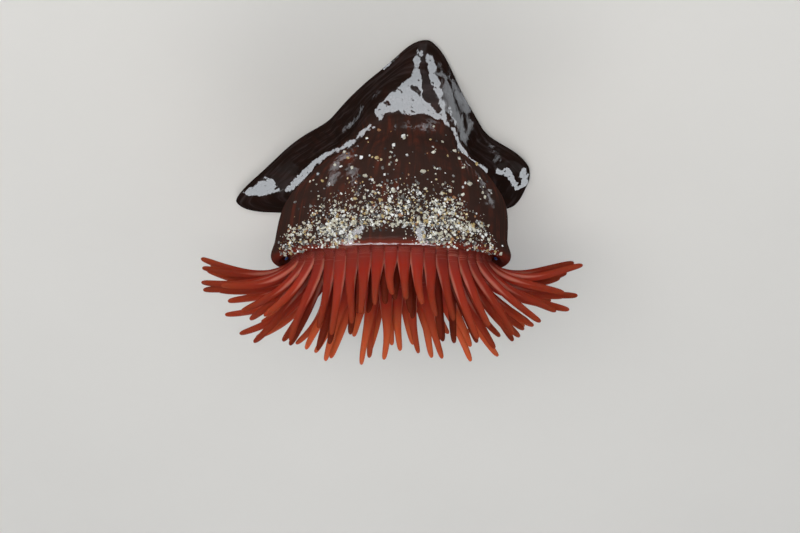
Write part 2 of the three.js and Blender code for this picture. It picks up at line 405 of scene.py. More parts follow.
@dataclass(frozen=True)
class FleshFinish:
    """The wet skin: near black red-brown on the column, orange-red in the crown, with painted light
    and shade.

    Cells are a pattern's cells to the metre. A stretch scales a pattern on the skin's flow, whose
    last axis runs lengthwise. Gloss is a coat's weight.
    """

    foot: str = "1c130f"
    foot_pale: str = "342b2a"
    column_dark: str = "372722"
    column_warm: str = "5a2e23"
    collar: str = "743024"
    root: str = "883a31"
    shaft: str = "9f3023"
    tip: str = "903e25"
    # Painted rim light on the tentacles' sides; the faint lines across their roots take this colour
    # too.
    edge: str = "d48a76"
    # Painted light that brightens the far tentacles towards their tips.
    painted_glow: str = "c8603a"
    # The deep red of the disc, also used to paint shade in the groove, the disc and the mouth, and
    # on the dimmest tentacles.
    disc: str = "3e120c"
    limbus: str = "31406a"
    film_gloss: float = 0.36
    haze_gloss: float = 0.145
    damp_gloss: float = 0.3
    drained_gloss: float = 0.012
    film_level: float = 0.97
    film_edge: float = 0.04
    ragged_reach: float = 0.45
    fleck_reach: float = 2.5
    film_way: Triple = (-0.07, 0.745, 0.664)
    coat_roughness: float = 0.04
    scatter: Triple = (1.0, 0.22, 0.1)
    scatter_reach: float = 0.0012
    relief_depth: float = 0.12
    mottle_cells: float = 260.0
    ripple_cells: float = 330.0
    mist_cells: float = 480.0
    ragged_cells: float = 620.0
    fleck_cells: float = 1500.0
    grain_cells: float = 2600.0
    streak_stretch: Triple = (0.9, 0.9, 0.09)
    band_stretch: Triple = (0.18, 0.18, 0.75)
    line_stretch: Triple = (0.15, 0.15, 5.0)
    shaft_stretch: Triple = (2.2, 2.2, 0.2)
    fold_stretch: Triple = (1.6, 1.6, 0.14)
    ring_stretch: Triple = (0.25, 0.25, 2.6)

    def column_colour(self, bench: Bench) -> Socket:
        """Mottle the column, streak it lengthwise, band the foot and line its margin with blue.

        Args:
            bench: where the material is laid out.

        Returns:
            The column's colour.
        """
        flow = bench.direction("flow")
        streak = bench.cloud(bench.scaled(flow, self.streak_stretch), 1.0, 4.0, 0.6)
        mottle = bench.cloud(bench.place(), self.mottle_cells, 4.0, 0.55, 0.3)
        warmth = bench.product(bench.span(streak, 0.42, 0.66), bench.span(mottle, 0.35, 0.7))
        colour = bench.blend(warmth, linear(self.column_dark), linear(self.column_warm))
        height = bench.attribute("rise")
        low = bench.span(height, 0.45, 0.64, 0.9, 0.0)
        bands = bench.cloud(bench.scaled(flow, self.band_stretch), 1.0, 3.0, 0.6)
        bands = bench.span(bands, 0.44, 0.72)
        foot = bench.blend(bands, linear(self.foot), linear(self.foot_pale))
        colour = bench.blend(low, colour, foot)
        line = bench.span(height, 0.012, 0.03, 1.0, 0.0)
        broken = bench.span(bench.cloud(flow, 0.8, 2.0), 0.35, 0.6)
        return bench.blend(bench.product(line, broken), colour, linear(self.limbus))

    def crown_colour(self, bench: Bench) -> Socket:
        """Colour the tentacles from root to tip, each with its own brightness, and paint rim light,
        shade and light on them.

        Args:
            bench: where the material is laid out.

        Returns:
            The crown's colour.
        """
        along, tone = bench.attribute("along"), bench.attribute("tone")
        flow = bench.direction("flow")
        colour = bench.ramp(along, (0.0, self.root), (0.35, self.shaft), (1.0, self.tip))
        # Painted rim light: each tentacle's sides are painted pale, as if lit through.
        edge = bench.span(bench.attribute("edge"), 0.7, 0.95, 0.0, 0.72)
        colour = bench.blend(edge, colour, linear(self.edge))
        # Faint pale lines across the roots, a pattern of the skin, in the rim's pale colour.
        lines = bench.cloud(bench.scaled(flow, self.line_stretch), 1.0, 2.0)
        low = bench.span(along, 0.06, 0.2, 1.0, 0.0)
        lines = bench.product(bench.span(lines, 0.54, 0.66, 0.0, 0.4), low)
        colour = bench.blend(lines, colour, linear(self.edge))
        streaks = bench.cloud(bench.scaled(flow, self.shaft_stretch), 1.0, 3.0, 0.6)
        colour = bench.blend(bench.span(streaks, 0.35, 0.7, 0.0, 0.3), colour, linear(self.root))
        # Painted shade: low brightness darkens the flesh towards the disc's deep red, for the shade
        # inside the near curtain and on the crown's sides, over a random spread.
        dark_tone_and_shade = bench.blend(0.75, colour, linear(self.disc))
        colour = bench.blend(bench.span(tone, 0.0, 0.7, 1.0, 0.0, False), colour, dark_tone_and_shade)
        # Painted light: the far tentacles shine brighter towards their tips.
        painted_glow = bench.product(bench.span(tone, 0.68, 1.0, 0.0, 0.85), bench.span(along, 0.2, 0.8))
        colour = bench.blend(painted_glow, colour, linear(self.painted_glow))
        # Painted shade, deepest in the groove, the disc and the mouth.
        return bench.blend(bench.attribute("shade_depth"), colour, linear(self.disc))

    def wet_film(self, bench: Bench) -> Socket:
        """Ripple the film of water, finely and broadly, so that its glints have ragged edges.

        Args:
            bench: where the material is laid out.

        Returns:
            The film's normal.
        """
        broad = bench.cloud(bench.place(), self.ripple_cells, 2.0, 0.5, 0.4)
        fine = bench.cloud(bench.place(), self.fleck_cells, 3.0, 0.6)
        return bench.bump(bench.span(fine, 0.62, 0.75), 0.06, 0.8, bench.bump(broad, 0.5, 0.35))

    def film(self, bench: Bench) -> Socket:
        """Find where the water has run together, with ragged edges and a few gaps.

        Args:
            bench: where the material is laid out.

        Returns:
            1 where it has, and 0 elsewhere.
        """
        place = bench.place()
        ragged = bench.cloud(place, self.ragged_cells, 3.0, 0.6, 0.5)
        ragged = bench.span(ragged, 0.25, 0.75, -self.ragged_reach, self.ragged_reach, False)
        flecks = bench.cloud(place, self.fleck_cells, 2.0)
        flecks = bench.span(flecks, 0.64, 0.74, 0.0, -self.fleck_reach)
        ragged = bench.sums("ADD", ragged, flecks)
        gap = bench.sums("ADD", bench.attribute("gap"), ragged)
        gap = bench.span(gap, -self.film_edge, self.film_edge, 1.0, 0.0)
        whole = bench.sums("ADD", bench.attribute("film"), ragged)
        return bench.product(bench.span(whole, -self.film_edge, self.film_edge), gap)

    def haze(self, bench: Bench) -> Socket:
        """Find where the water lies thin and broken, so that the skin looks misted.

        Args:
            bench: where the material is laid out.

        Returns:
            How much of it there is, from 0 to 1.
        """
        broken = bench.cloud(bench.place(), self.mist_cells, 4.0, 0.68, 1.0)
        soft = bench.span(broken, 0.36, 0.64, -1.5, 0.9, False)
        return bench.span(bench.sums("ADD", bench.attribute("haze"), soft), -0.7, 1.1)

    def wetness(self, bench: Bench, film: Socket, haze: Socket) -> Socket:
        """Find how glossy the skin is: most in the run-together water, and least where it drained.

        Args:
            bench: where the material is laid out.
            film: where the water has run together.
            haze: where it lies thin and broken.

        Returns:
            The weight of the coat.
        """
        damp = bench.span(bench.attribute("damp"), 0.0, 1.0, self.drained_gloss, self.damp_gloss)
        drier = bench.span(bench.attribute("crown"), 0.8, 1.0, 1.0, 0.4)
        damp = bench.product(damp, drier)
        run = bench.product(film, self.film_gloss)
        mist = bench.product(haze, self.haze_gloss)
        return bench.sums("MAXIMUM", damp, bench.sums("MAXIMUM", run, mist))

    def make(self) -> bpy.types.Material:
        """Lay out the skin's material.

        Returns:
            The material.
        """
        bench = Bench("wet_flesh")
        crown = bench.attribute("crown")
        lip = bench.span(crown, 0.08, 0.48)
        body = bench.blend(lip, self.column_colour(bench), linear(self.collar))
        colour = bench.blend(bench.span(crown, 0.55, 1.0), body, self.crown_colour(bench))
        flow = bench.direction("flow")
        folds = bench.cloud(bench.scaled(flow, self.fold_stretch), 1.0, 3.0, 0.55)
        rings = bench.cloud(bench.scaled(flow, self.ring_stretch), 1.0, 3.0, 0.6)
        rings = bench.product(rings, bench.span(crown, 0.0, 1.0, 0.25, 0.6))
        grain = bench.cloud(bench.place(), self.grain_cells, 2.0)
        height = bench.sums("ADD", folds, rings)
        height = bench.sums("ADD", height, bench.product(grain, 0.06))
        film, haze = self.film(bench), self.haze(bench)
        level = bench.sums("MAXIMUM", film, bench.span(haze, 0.0, 0.1))
        levelled = bench.product(level, self.film_level)
        bench.set_shader(
            Base_Color=colour,
            Roughness=bench.span(crown, 0.0, 1.0, 0.5, 0.55),
            IOR=WATER_IOR,
            Specular_IOR_Level=0.0,
            Subsurface_Weight=bench.span(crown, 0.2, 1.0, 0.05, 0.55),
            Subsurface_Radius=self.scatter,
            Subsurface_Scale=self.scatter_reach,
            Coat_Weight=self.wetness(bench, film, haze),
            Coat_Roughness=self.coat_roughness,
            Coat_IOR=WATER_IOR,
            Normal=bench.bump(height, self.relief_depth, 0.5),
            Coat_Normal=bench.lean(levelled, self.wet_film(bench), self.film_way),
        )
        return bench.material


@dataclass(frozen=True)
class BeadFinish:
    """The mottled blue of the stinging beads."""

    deep: str = "1c3f9c"
    pale: str = "6f93e0"
    mottle_cells: float = 1900.0
    scatter: Triple = (0.3, 0.5, 1.0)
    scatter_reach: float = 0.0006

    def make(self) -> bpy.types.Material:
        """Lay out the beads' material.

        Returns:
            The material.
        """
        bench = Bench("bead_blue")
        mottle = bench.cloud(bench.place(), self.mottle_cells, 3.0)
        colour = bench.blend(bench.span(mottle, 0.3, 0.7), linear(self.deep), linear(self.pale))
        bench.set_shader(
            Base_Color=colour,
            Roughness=0.35,
            Subsurface_Weight=0.3,
            Subsurface_Radius=self.scatter,
            Subsurface_Scale=self.scatter_reach,
            Coat_Weight=0.6,
            Coat_Roughness=0.08,
            Coat_IOR=WATER_IOR,
            Normal=bench.bump(mottle, 0.05, 0.4),
        )
        return bench.material


class Grit(Enum):
    """What the sand is made of: each kind's share of the grains and its colour."""

    BASALT = (0.12, "262422")
    SLATE = (0.20, "6f6c66")
    RUST = (0.02, "9a6634")
    AMBER = (0.13, "b9a068")
    SHELL = (0.31, "cbc6b2")
    QUARTZ = (0.22, "ecebe6")


@dataclass(frozen=True)
class SandFinish:
    """Wet grains of many minerals, each with its own colour from its tint."""

    mottle_cells: float = 5200.0

    def make(self) -> bpy.types.Material:
        """Lay out the sand's material.

        Returns:
            The material.
        """
        bench = Bench("wet_sand")
        stops = []
        share = 0.0
        for kind in Grit:
            stops.append((share, kind.value[1]))
            share += kind.value[0]
        colour = bench.ramp(bench.attribute("tint"), *stops, sharp=True)
        mottle = bench.cloud(bench.place(), self.mottle_cells, 2.0)
        shaded = bench.blend(bench.span(mottle, 0.3, 0.7, 0.75, 1.0), (0.0, 0.0, 0.0), colour)
        bench.set_shader(
            Base_Color=shaded,
            Roughness=0.6,
            Specular_IOR_Level=0.2,
            Coat_Weight=0.15,
            Coat_Roughness=0.15,
            Coat_IOR=WATER_IOR,
            Normal=bench.bump(mottle, 0.03, 0.5),
        )
        return bench.material


@dataclass(frozen=True)
class FloorFinish:
    """A plain pale floor with the faintest mottle."""

    light: str = "e6e3dc"
    shade: str = "dfdcd5"
    mottle_cells: float = 18.0

    def make(self) -> bpy.types.Material:
        """Lay out the floor's material.

        Returns:
            The material.
        """
        bench = Bench("pale_floor")
        mottle = bench.cloud(bench.place(), self.mottle_cells, 4.0)
        bench.set_shader(
            Base_Color=bench.blend(mottle, linear(self.light), linear(self.shade)),
            Roughness=0.7,
            Specular_IOR_Level=0.0,
        )
        return bench.material


# ---- The animal's form ----


@dataclass(frozen=True)
class FootSide:
    """One side of the foot's outline: the way it faces, and how far it is from the origin."""

    facing: float
    reach: float


@dataclass(frozen=True)
class Bulge:
    """A place where the foot swells out, or if its depth is negative, is pressed in.

    Facing and width are in degrees, and depth is in millimetres.
    """

    facing: float
    width: float
    depth: float


@dataclass(frozen=True)
class Lobe:
    """One wave of the scallops along the foot's margin."""

    count: int
    depth: float
    turn: float


@dataclass(frozen=True)
class FootOutline:
    """The foot's rounded triangle, wedged to the shape of the crevice that it grew in."""

    sides: tuple[FootSide, ...] = (FootSide(23, 16.8), FootSide(138.5, 16.6), FootSide(270, 12.2))
    lobes: tuple[Lobe, ...] = (Lobe(5, 0.35, 1.0), Lobe(8, 0.2, 2.4))
    bulges: tuple[Bulge, ...] = (Bulge(-5, 16, 4.5), Bulge(90, 12, -1.5), Bulge(141, 21, -1.65))
    corners: float = 6.3

    def radius(self, angle: float) -> float:
        """Find the outline's distance from the origin.

        Args:
            angle: the direction, in radians from +X.

        Returns:
            The distance in millimetres.
        """
        total = 0.0
        for side in self.sides:
            facing = max(0.0, math.cos(angle - math.radians(side.facing)))
            total += (facing / side.reach) ** self.corners
        radius = total ** (-1 / self.corners)
        for bulge in self.bulges:
            off = apart(angle, bulge.facing) / math.radians(bulge.width)
            radius += bulge.depth * math.exp(-off * off)
        for lobe in self.lobes:
            radius += lobe.depth * math.sin(lobe.count * angle + lobe.turn)
        return radius


@dataclass(frozen=True)
class CrownFrame:
    """The crown's own frame: its middle over the collar's lip, its Z the way the mouth faces."""

    centre: Triple = (-1.0, -0.5, 28.1)
    lean: float = 36.0
    floor: float = -4.2

    def matrix(self) -> Matrix:
        """Give the matrix from the crown's frame to the row's frame, in millimetres."""
        return Matrix.Translation(self.centre) @ Matrix.Rotation(math.radians(self.lean), 4, "X")

    def point(self, angle: float, radius: float, height: float) -> Vector:
        """Find the point at an angle, a radius and a height in the crown's frame."""
        return self.matrix() @ Vector((radius * math.cos(angle), radius * math.sin(angle), height))


@dataclass(frozen=True)
class Hoop:
    """One ring of the crown's skin.

    It has a radius and a height, how far it belongs to the crown, how deep it lies in the groove
    and the disc, which paints shade on it, and how narrow it is from near to far.
    """

    radius: float
    height: float
    crown: float = 1.0
    shade_depth: float = 0.0
    narrow: float = 1.0


# From the neck over the collar's lip, down the groove and up to where the tentacles root.
COLLAR_HOOPS = (
    Hoop(19.85, -4.0, 0.0), Hoop(20.15, -3.1, 0.05), Hoop(20.4, -2.3, 0.12),
    Hoop(20.3, -1.7, 0.25), Hoop(19.9, -1.25, 0.45), Hoop(19.35, -1.05, 0.6),
    Hoop(18.85, -1.2, 0.7), Hoop(18.5, -1.7, 0.75), Hoop(18.25, -2.3, 0.8, 0.3),
    Hoop(17.75, -2.65, 0.9, 0.5), Hoop(17.3, -2.45, 1.0, 0.3), Hoop(17.1, -1.95, 1.0, 0.1),
)
LIP_HOOPS = 7  # how many of them it takes to get over the lip
# The rows that the tentacles root in: three rings wide for each, with a narrow row between.
ROOT_HOOPS = (
    Hoop(16.98, -1.4), Hoop(16.0, -1.0), Hoop(15.05, -0.98, 1.0, 0.1),
    Hoop(14.95, -0.98, 1.0, 0.1), Hoop(14.1, -1.08, 1.0, 0.2), Hoop(13.2, -1.2, 1.0, 0.35),
    Hoop(13.1, -1.22, 1.0, 0.35), Hoop(12.35, -1.35, 1.0, 0.45), Hoop(11.5, -1.6, 1.0, 0.6),
)
# Over the disc to the lips, and down the slit of the mouth.
DISC_HOOPS = (
    Hoop(10.8, -1.9, 1.0, 0.75), Hoop(9.4, -2.2, 1.0, 0.9), Hoop(8.1, -2.4, 1.0, 0.95),
    Hoop(6.7, -2.36, 1.0, 0.9), Hoop(5.4, -2.2, 1.0, 0.85), Hoop(4.2, -1.95, 1.0, 0.8),
    Hoop(3.55, -1.6, 1.0, 0.6), Hoop(3.1, -1.15, 1.0, 0.35), Hoop(2.7, -0.9, 1.0, 0.3, 0.9),
    Hoop(2.3, -0.95, 1.0, 0.5, 0.66), Hoop(2.05, -1.3, 1.0, 0.8, 0.42),
    Hoop(1.9, -2.1, 1.0, 1.0, 0.33), Hoop(1.7, -3.2, 1.0, 1.0, 0.3), Hoop(0.8, -3.8, 1.0, 1.0, 0.3),
)


@dataclass(frozen=True)
class Level:
    """A ring of the column.

    It has a centre and a lean, a share and a scale of the foot's outline, a radius of its own, and
    how far the ramp's face is and how much of it there is.
    """

    x: float
    y: float
    z: float
    lean: float
    foot_share: float
    foot_scale: float
    radius: float
    ramp_reach: float = 16.0
    ramp_share: float = 0.0

    def values(self) -> tuple[float, ...]:
        """List the level's numbers in order."""
        return (self.x, self.y, self.z, self.lean, self.foot_share, self.foot_scale, self.radius,
                self.ramp_reach, self.ramp_share)


@dataclass
class ColumnForm:
    """The column's shape, from the sole to the neck, with its soft lengthwise folds.

    A flat ramp climbs its near corner, and on the flanks a shelf parts the foot from the bell.
    Places, such as the shelf's, are numbers of levels. Folds start at the foot, and are calmer on
    the bell and at the neck.
    """

    foot: FootOutline = field(default_factory=FootOutline)
    crown: CrownFrame = field(default_factory=CrownFrame)
    gap: float = 0.3
    neck_radius: float = 19.7
    fold_count: float = 6.5
    fold_depth: float = 0.42
    fold_drift: float = 0.22
    fine_fold: float = 2.3
    fine_share: float = 0.4
    fold_start: Pair = (0.6, 2.5)
    fold_bell: Pair = (3.5, 6.0)
    fold_neck: Pair = (7.5, 9.0)
    bell_calm: float = 0.75
    neck_calm: float = 0.6
    ramp_facing: float = 90.0
    ramp_middle: float = 81.0
    ramp_width: float = 36.0
    ramp_rim: float = 0.97
    ramp_corners: float = 18.0
    shelf_place: float = 5.08
    shelf_run: float = 0.15
    shelf_depth: float = 1.1
    shelf_end: float = 6.5
    flank_place: float = 4.4
    flank_width: float = 0.7
    flank_depth: float = 0.35
    levels: list[Level] = field(default_factory=lambda: [
        Level(0, 0, 0, 0, 1, 0.965, 15),
        Level(0, 0, 0.9, 0, 1, 1, 15, 27.5, 0.0),
        Level(0, 0, 2.1, 0, 1, 0.97, 15, 26.5, 0.3),
        Level(0, 0.3, 3.2, 3, 0.95, 0.88, 15, 24.0, 1.0),
        Level(0.1, 1.2, 5.2, 6, 0.68, 0.76, 14.6, 20.5, 1.0),
        Level(0.3, 2.8, 8.0, 10, 0.36, 0.7, 13.9, 16.0, 0.8),
        Level(0.3, 3.7, 11.4, 15, 0.16, 0.66, 15.7),
        Level(0.1, 3.9, 15.0, 20, 0.08, 0.66, 17.9),
        Level(-0.4, 3.5, 18.6, 28, 0, 0.66, 19.3),
    ])

    def __post_init__(self) -> None:
        """Add the neck, square to the crown and just under it."""
        neck = self.crown.point(0.0, 0.0, self.crown.floor - self.gap)
        self.levels.append(Level(*neck, self.crown.lean, 0, 0, self.neck_radius))

    def radius(self, level: Level, angle: float) -> float:
        """Find the column's radius at a level. Its near corner climbs the crevice as a flat ramp.

        Args:
            level: the level, with how far the ramp's face is and how much of it there is.
            angle: the direction, in radians.

        Returns:
            The radius in millimetres.
        """
        foot = self.foot.radius(angle)
        plain = foot * level.foot_scale * level.foot_share + level.radius * (1 - level.foot_share)
        facing = max(0.0, math.cos(angle - math.radians(self.ramp_facing)))
        sharp = self.ramp_corners
        inside = (1 / (foot * self.ramp_rim)) ** sharp + (facing / level.ramp_reach) ** sharp
        ramp = inside ** (-1 / sharp)
        return plain + (ramp - plain) * level.ramp_share * self.on_ramp(angle)

    def on_ramp(self, angle: float) -> float:
        """Find how much of the ramp there is in a direction, from 0 to 1."""
        off = math.remainder(angle - math.radians(self.ramp_middle), FULL_TURN)
        return math.exp(-(off / math.radians(self.ramp_width)) ** 4)

    def shelf(self, angle: float, place: float) -> float:
        """Find how far the shelf, where the full flank of the foot meets the bell, moves the skin.

        Args:
            angle: the direction, in radians.
            place: the level, from 0 to top.

        Returns:
            Millimetres outwards on the flank, and inwards just past the shelf.
        """
        flank = self.flank_depth * math.exp(-((place - self.flank_place) / self.flank_width) ** 2)
        drop = smooth_step(self.shelf_place, self.shelf_place + self.shelf_run, place)
        back = 1 - smooth_step(self.shelf_place + 2 * self.shelf_run, self.shelf_end, place)
        return (flank - self.shelf_depth * drop * back) * (1 - self.on_ramp(angle))

    @property
    def top(self) -> int:
        """The neck's place in the list of levels."""
        return len(self.levels) - 1

    def level_at(self, place: float) -> Level:
        """Find the level at a place between the named ones, on a smooth curve through them.

        Args:
            place: a number from 0, the sole, to top, the neck.

        Returns:
            The level there.
        """
        first = min(int(place), self.top - 1)
        share = place - first
        near = [self.levels[min(self.top, max(0, first + step))].values() for step in (-1, 0, 1, 2)]
        values = []
        for a, b, c, d in zip(*near):
            curve = (2 * b) + (c - a) * share
            curve += (2 * a - 5 * b + 4 * c - d) * share ** 2
            curve += (3 * b - a - 3 * c + d) * share ** 3
            values.append(curve / 2)
        return Level(*values)

    def fold(self, angle: float, place: float) -> float:
        """Find how far the skin's lengthwise folds push it out. They are calmer on the bell.

        Args:
            angle: the direction, in radians.
            place: the level, from 0 to top.

        Returns:
            Millimetres outwards.
        """
        at = Vector((math.cos(angle), math.sin(angle), 0)) * self.fold_count
        at.z = self.fold_drift * place
        wave = noise.noise(at) + self.fine_share * noise.noise(at * self.fine_fold)
        bell = 1 - self.bell_calm * smooth_step(*self.fold_bell, place)
        fade = smooth_step(*self.fold_start, place) * bell
        neck = 1 - self.neck_calm * smooth_step(*self.fold_neck, place)
        return self.fold_depth * wave * fade * neck

    def point(self, angle: float, place: float, share: float = 1.0) -> Vector:
        """Place a point on the column.

        Args:
            angle: its direction, in radians.
            place: its level, from 0 to top.
            share: how much of the radius it has, for the rings under the foot.

        Returns:
            The point in the row's frame, in millimetres.
        """
        level = self.level_at(place)
        radius = share * self.radius(level, angle)
        radius = radius + self.fold(angle, place) + self.shelf(angle, place)
        flat = Vector((radius * math.cos(angle), radius * math.sin(angle), 0))
        turned = Matrix.Rotation(math.radians(level.lean), 3, "X") @ flat
        return turned + Vector((level.x, level.y, level.z))

    def skin_point(self, angle: float, place: float) -> Vector:
        """Find a point on the column, or past its top, on the outside of the collar.

        Args:
            angle: its direction, in radians.
            place: a level of the column, or past its top, a share of the way to the collar's lip.

        Returns:
            The point in the row's frame, in millimetres.
        """
        if place <= self.top:
            return self.point(angle, place)
        neck = Hoop(self.neck_radius, self.crown.floor - self.gap)
        hoops = (neck, *COLLAR_HOOPS[:LIP_HOOPS])
        along = (place - self.top) * LIP_HOOPS
        first = min(int(along), LIP_HOOPS - 1)
        here, there = hoops[first], hoops[first + 1]
        part = along - first
        radius = here.radius + (there.radius - here.radius) * part
        return self.crown.point(angle, radius, here.height + (there.height - here.height) * part)


@dataclass(frozen=True)
class TentacleRing:
    """One of the rings of tentacles, and the faces of the cage that they grow from.

    Places are shares of a sector's width. Root is a radius and a height in the crown's frame, and
    spread the share of the crown's own spread. Roots that straddle a gap are three faces wide.
    """

    places: tuple[float, ...]
    root: Pair
    radius: float
    length: float
    spread: float
    first_row: int
    straddles: bool


TENTACLE_RINGS = (
    TentacleRing((1 / 8, 3 / 8, 5 / 8, 7 / 8), (16.0, -1.25), 1.0, 16.5, 1.0, 0, False),
    TentacleRing((1 / 4, 3 / 4), (14.2, -1.5), 1.1, 18.0, 0.85, 3, True),
    TentacleRing((1 / 2,), (12.5, -1.6), 1.15, 18.5, 0.7, 6, True),
    TentacleRing((1 / 8,), (12.4, -1.6), 1.15, 17.0, 0.52, 6, False),
)
SECTORS = 12
SECTOR_START = 11.0
SLOTS = 48
SLOT_WIDTH = 360 / SLOTS
ROOT_WIDTH = 3.25  # half of the width of an outer tentacle's root, in degrees
COLUMNS = 3 * SLOTS


def column_angle(column: int) -> float:
    """Find the angle of one of the cage's columns.

    Args:
        column: the column's number.

    Returns:
        The angle in radians.
    """
    slot, part = divmod(column, 3)
    centre = SECTOR_START + (slot + 0.5) * SLOT_WIDTH
    return math.radians(centre + (part - 1) * ROOT_WIDTH)


@dataclass(frozen=True)
class Station:
    """A section of a tentacle in the crown's frame: its middle, its directions, its radius."""

    point: Vector
    along: Vector
    side: Vector
    up: Vector
    radius: float
    share: float


class Salt(IntEnum):
    """What a draw of chance is for. Each way that a tentacle sways takes three in a row."""

    LENGTH = 1
    SPREAD = 2
    TURN = 3
    SIDEWAYS = 4
    UPWARDS = 7
    TONE = 11


@dataclass(frozen=True)
class CrownHabit:
    """How the tentacles' length, brightness with its painted light and shade, and spread change
    round the crown.

    Facings, widths, spreads and turns are in degrees, reaches are shares of the ring's own length,
    and tones run from 0 to 1. Play is how far chance moves a value. Sharp is the power that keeps
    a swelling to the crown's sides.
    """

    sharp: int = 6
    reach: float = 0.94
    side_reach: float = 0.06
    drawn_in: float = 0.44
    drawn_width: float = 24.0
    long_facing: float = 209.0
    long_width: float = 10.0
    long_reach: float = 0.15
    reach_play: float = 0.1
    # The base brightness and its play are the tentacles' own; the far tentacles get painted light,
    # and the crown's sides, most of all the right, and the near side's curtain get painted shade.
    tone: float = 0.62
    far_painted_light: float = 0.33
    beyond_run: Pair = (-0.2, 0.9)
    side_shade: float = 0.22
    right_shade: float = 0.08
    tone_play: float = 0.18
    curtain_shade: float = 0.85
    curtain_run: Pair = (0.45, 0.8)
    spread: float = 36.0
    near_spread: float = 22.0
    side_spread: float = 70.0
    left_spread: float = 14.0
    spread_play: float = 8.0
    turn_play: float = 9.0


HABIT = CrownHabit()


@dataclass
class Tentacle:
    """One tentacle: where it stands, and how it bends as it goes."""

    ring: int
    place: int
    angle: float
    tip_radius: float = 0.48
    taper: float = 1.1
    root_share: float = 0.42
    wander: float = 0.5
    root_wide: float = 1.52
    root_thick: float = 0.72
    tip_wide: float = 1.05
    rounding: Pair = (0.05, 0.75)
    sway_turns: Pair = (0.75, 0.25)
    sway_depth: Pair = (0.6, 0.4)

    @property
    def kind(self) -> TentacleRing:
        """The ring that it stands in."""
        return TENTACLE_RINGS[self.ring]

    def play(self, salt: int) -> float:
        """Draw this tentacle's own chance for one use, from -1 to 1."""
        return chance(self.ring, self.place, salt)

    @property
    def length(self) -> float:
        """Find its length. Those in the middle of the near side are drawn in short.

        Returns:
            The length in millimetres.
        """
        off = math.acos(math.sin(self.angle)) / math.radians(HABIT.drawn_width)
        far_left = apart(self.angle, HABIT.long_facing) / math.radians(HABIT.long_width)
        reach = HABIT.reach + HABIT.side_reach * math.cos(self.angle) ** HABIT.sharp
        reach -= HABIT.drawn_in * math.exp(-off * off)
        reach += HABIT.long_reach * math.exp(-far_left * far_left)
        return self.kind.length * reach * (1 + HABIT.reach_play * self.play(Salt.LENGTH))

    @property
    def tone(self) -> float:
        """Find how bright its flesh is: at random, with painted shade inside the near side's
        curtain and on the crown's sides, and painted light beyond.

        Returns:
            How bright it is, with its painted light and shade, from 0 to 1.
        """
        beyond, right = math.sin(self.angle), math.cos(self.angle)
        plain = HABIT.tone + HABIT.far_painted_light * smooth_step(*HABIT.beyond_run, -beyond)
        plain = plain - HABIT.side_shade * right * right - HABIT.right_shade * right
        plain += HABIT.tone_play * self.play(Salt.TONE)
        curtain = (self.ring > 0) * smooth_step(*HABIT.curtain_run, beyond)
        return plain * (1 - HABIT.curtain_shade * curtain)

    @property
    def spread(self) -> float:
        """Find how far its tip is bent from the crown's axis.

        Returns:
            The angle in radians.
        """
        crown = HABIT.spread - HABIT.near_spread * math.sin(self.angle)
        crown += HABIT.side_spread * math.cos(self.angle) ** HABIT.sharp
        crown += HABIT.left_spread * max(0.0, -math.cos(self.angle)) ** HABIT.sharp
        play = HABIT.spread_play * self.play(Salt.SPREAD)
        return math.radians(crown * self.kind.spread + play)

    def heading(self, share: float) -> Vector:
        """Find the way that it runs.

        Args:
            share: how far along it, from 0 to 1.

        Returns:
            The direction, in the crown's frame.
        """
        lean = self.spread * (1 - (1 - self.root_share) * (1 - share) ** 2)
        turn = self.angle + math.radians(HABIT.turn_play) * self.play(Salt.TURN) * share
        out = math.sin(lean)
        return Vector((out * math.cos(turn), out * math.sin(turn), math.cos(lean)))

    def sway(self, share: float, salt: int) -> float:
        """Find how far it wanders off its course. It starts on it.

        Args:
            share: how far along it, from 0 to 1.
            salt: the first of the three draws of chance that it takes.

        Returns:
            Millimetres off its course.
        """
        turns = self.sway_turns[0] + self.sway_turns[1] * self.play(salt)
        start = math.pi * self.play(salt + 1)
        depth = self.wander * (self.sway_depth[0] + self.sway_depth[1] * self.play(salt + 2))
        wave = math.sin(FULL_TURN * turns * share + start) - math.sin(start) * (1 - share)
        return depth * share * wave

    def section(self, share: float) -> Pair:
        """Find how wide and how thick it is, against its radius. Its root is flat, its tip round.

        Args:
            share: how far along it, from 0 to 1.

        Returns:
            The width and the thickness.
        """
        part = smooth_step(*self.rounding, share)
        wide = self.root_wide + (self.tip_wide - self.root_wide) * part
        return wide, self.root_thick + (self.tip_wide - self.root_thick) * part

    def stations(self, shares: tuple[float, ...]) -> list[Station]:
        """Follow it from root to tip.

        Args:
            shares: the shares of its length where it has a section.

        Returns:
            The sections, in order.
        """
        away, near = math.cos(self.angle), math.sin(self.angle)
        across = Vector((-near, away, 0))
        distance, height = self.kind.root
        point = Vector((distance * away, distance * near, height))
        made = []
        before = 0.0
        for share in shares:
            point = point + self.heading((before + share) / 2) * self.length * (share - before)
            along = self.heading(share)
            up = along.cross(across).normalized()
            side = up.cross(along)
            radius = self.kind.radius + (self.tip_radius - self.kind.radius) * share ** self.taper
            middle = point + side * self.sway(share, Salt.SIDEWAYS)
            middle += up * self.sway(share, Salt.UPWARDS)
            made.append(Station(middle, along, side, up, radius, share))
            before = share
        return made


# ---- The skin ----


class Film(Enum):
    """What a run of the film of water is, with the attribute that carries it."""

    LEVEL = "film"
    HAZE = "haze"
    GAP = "gap"


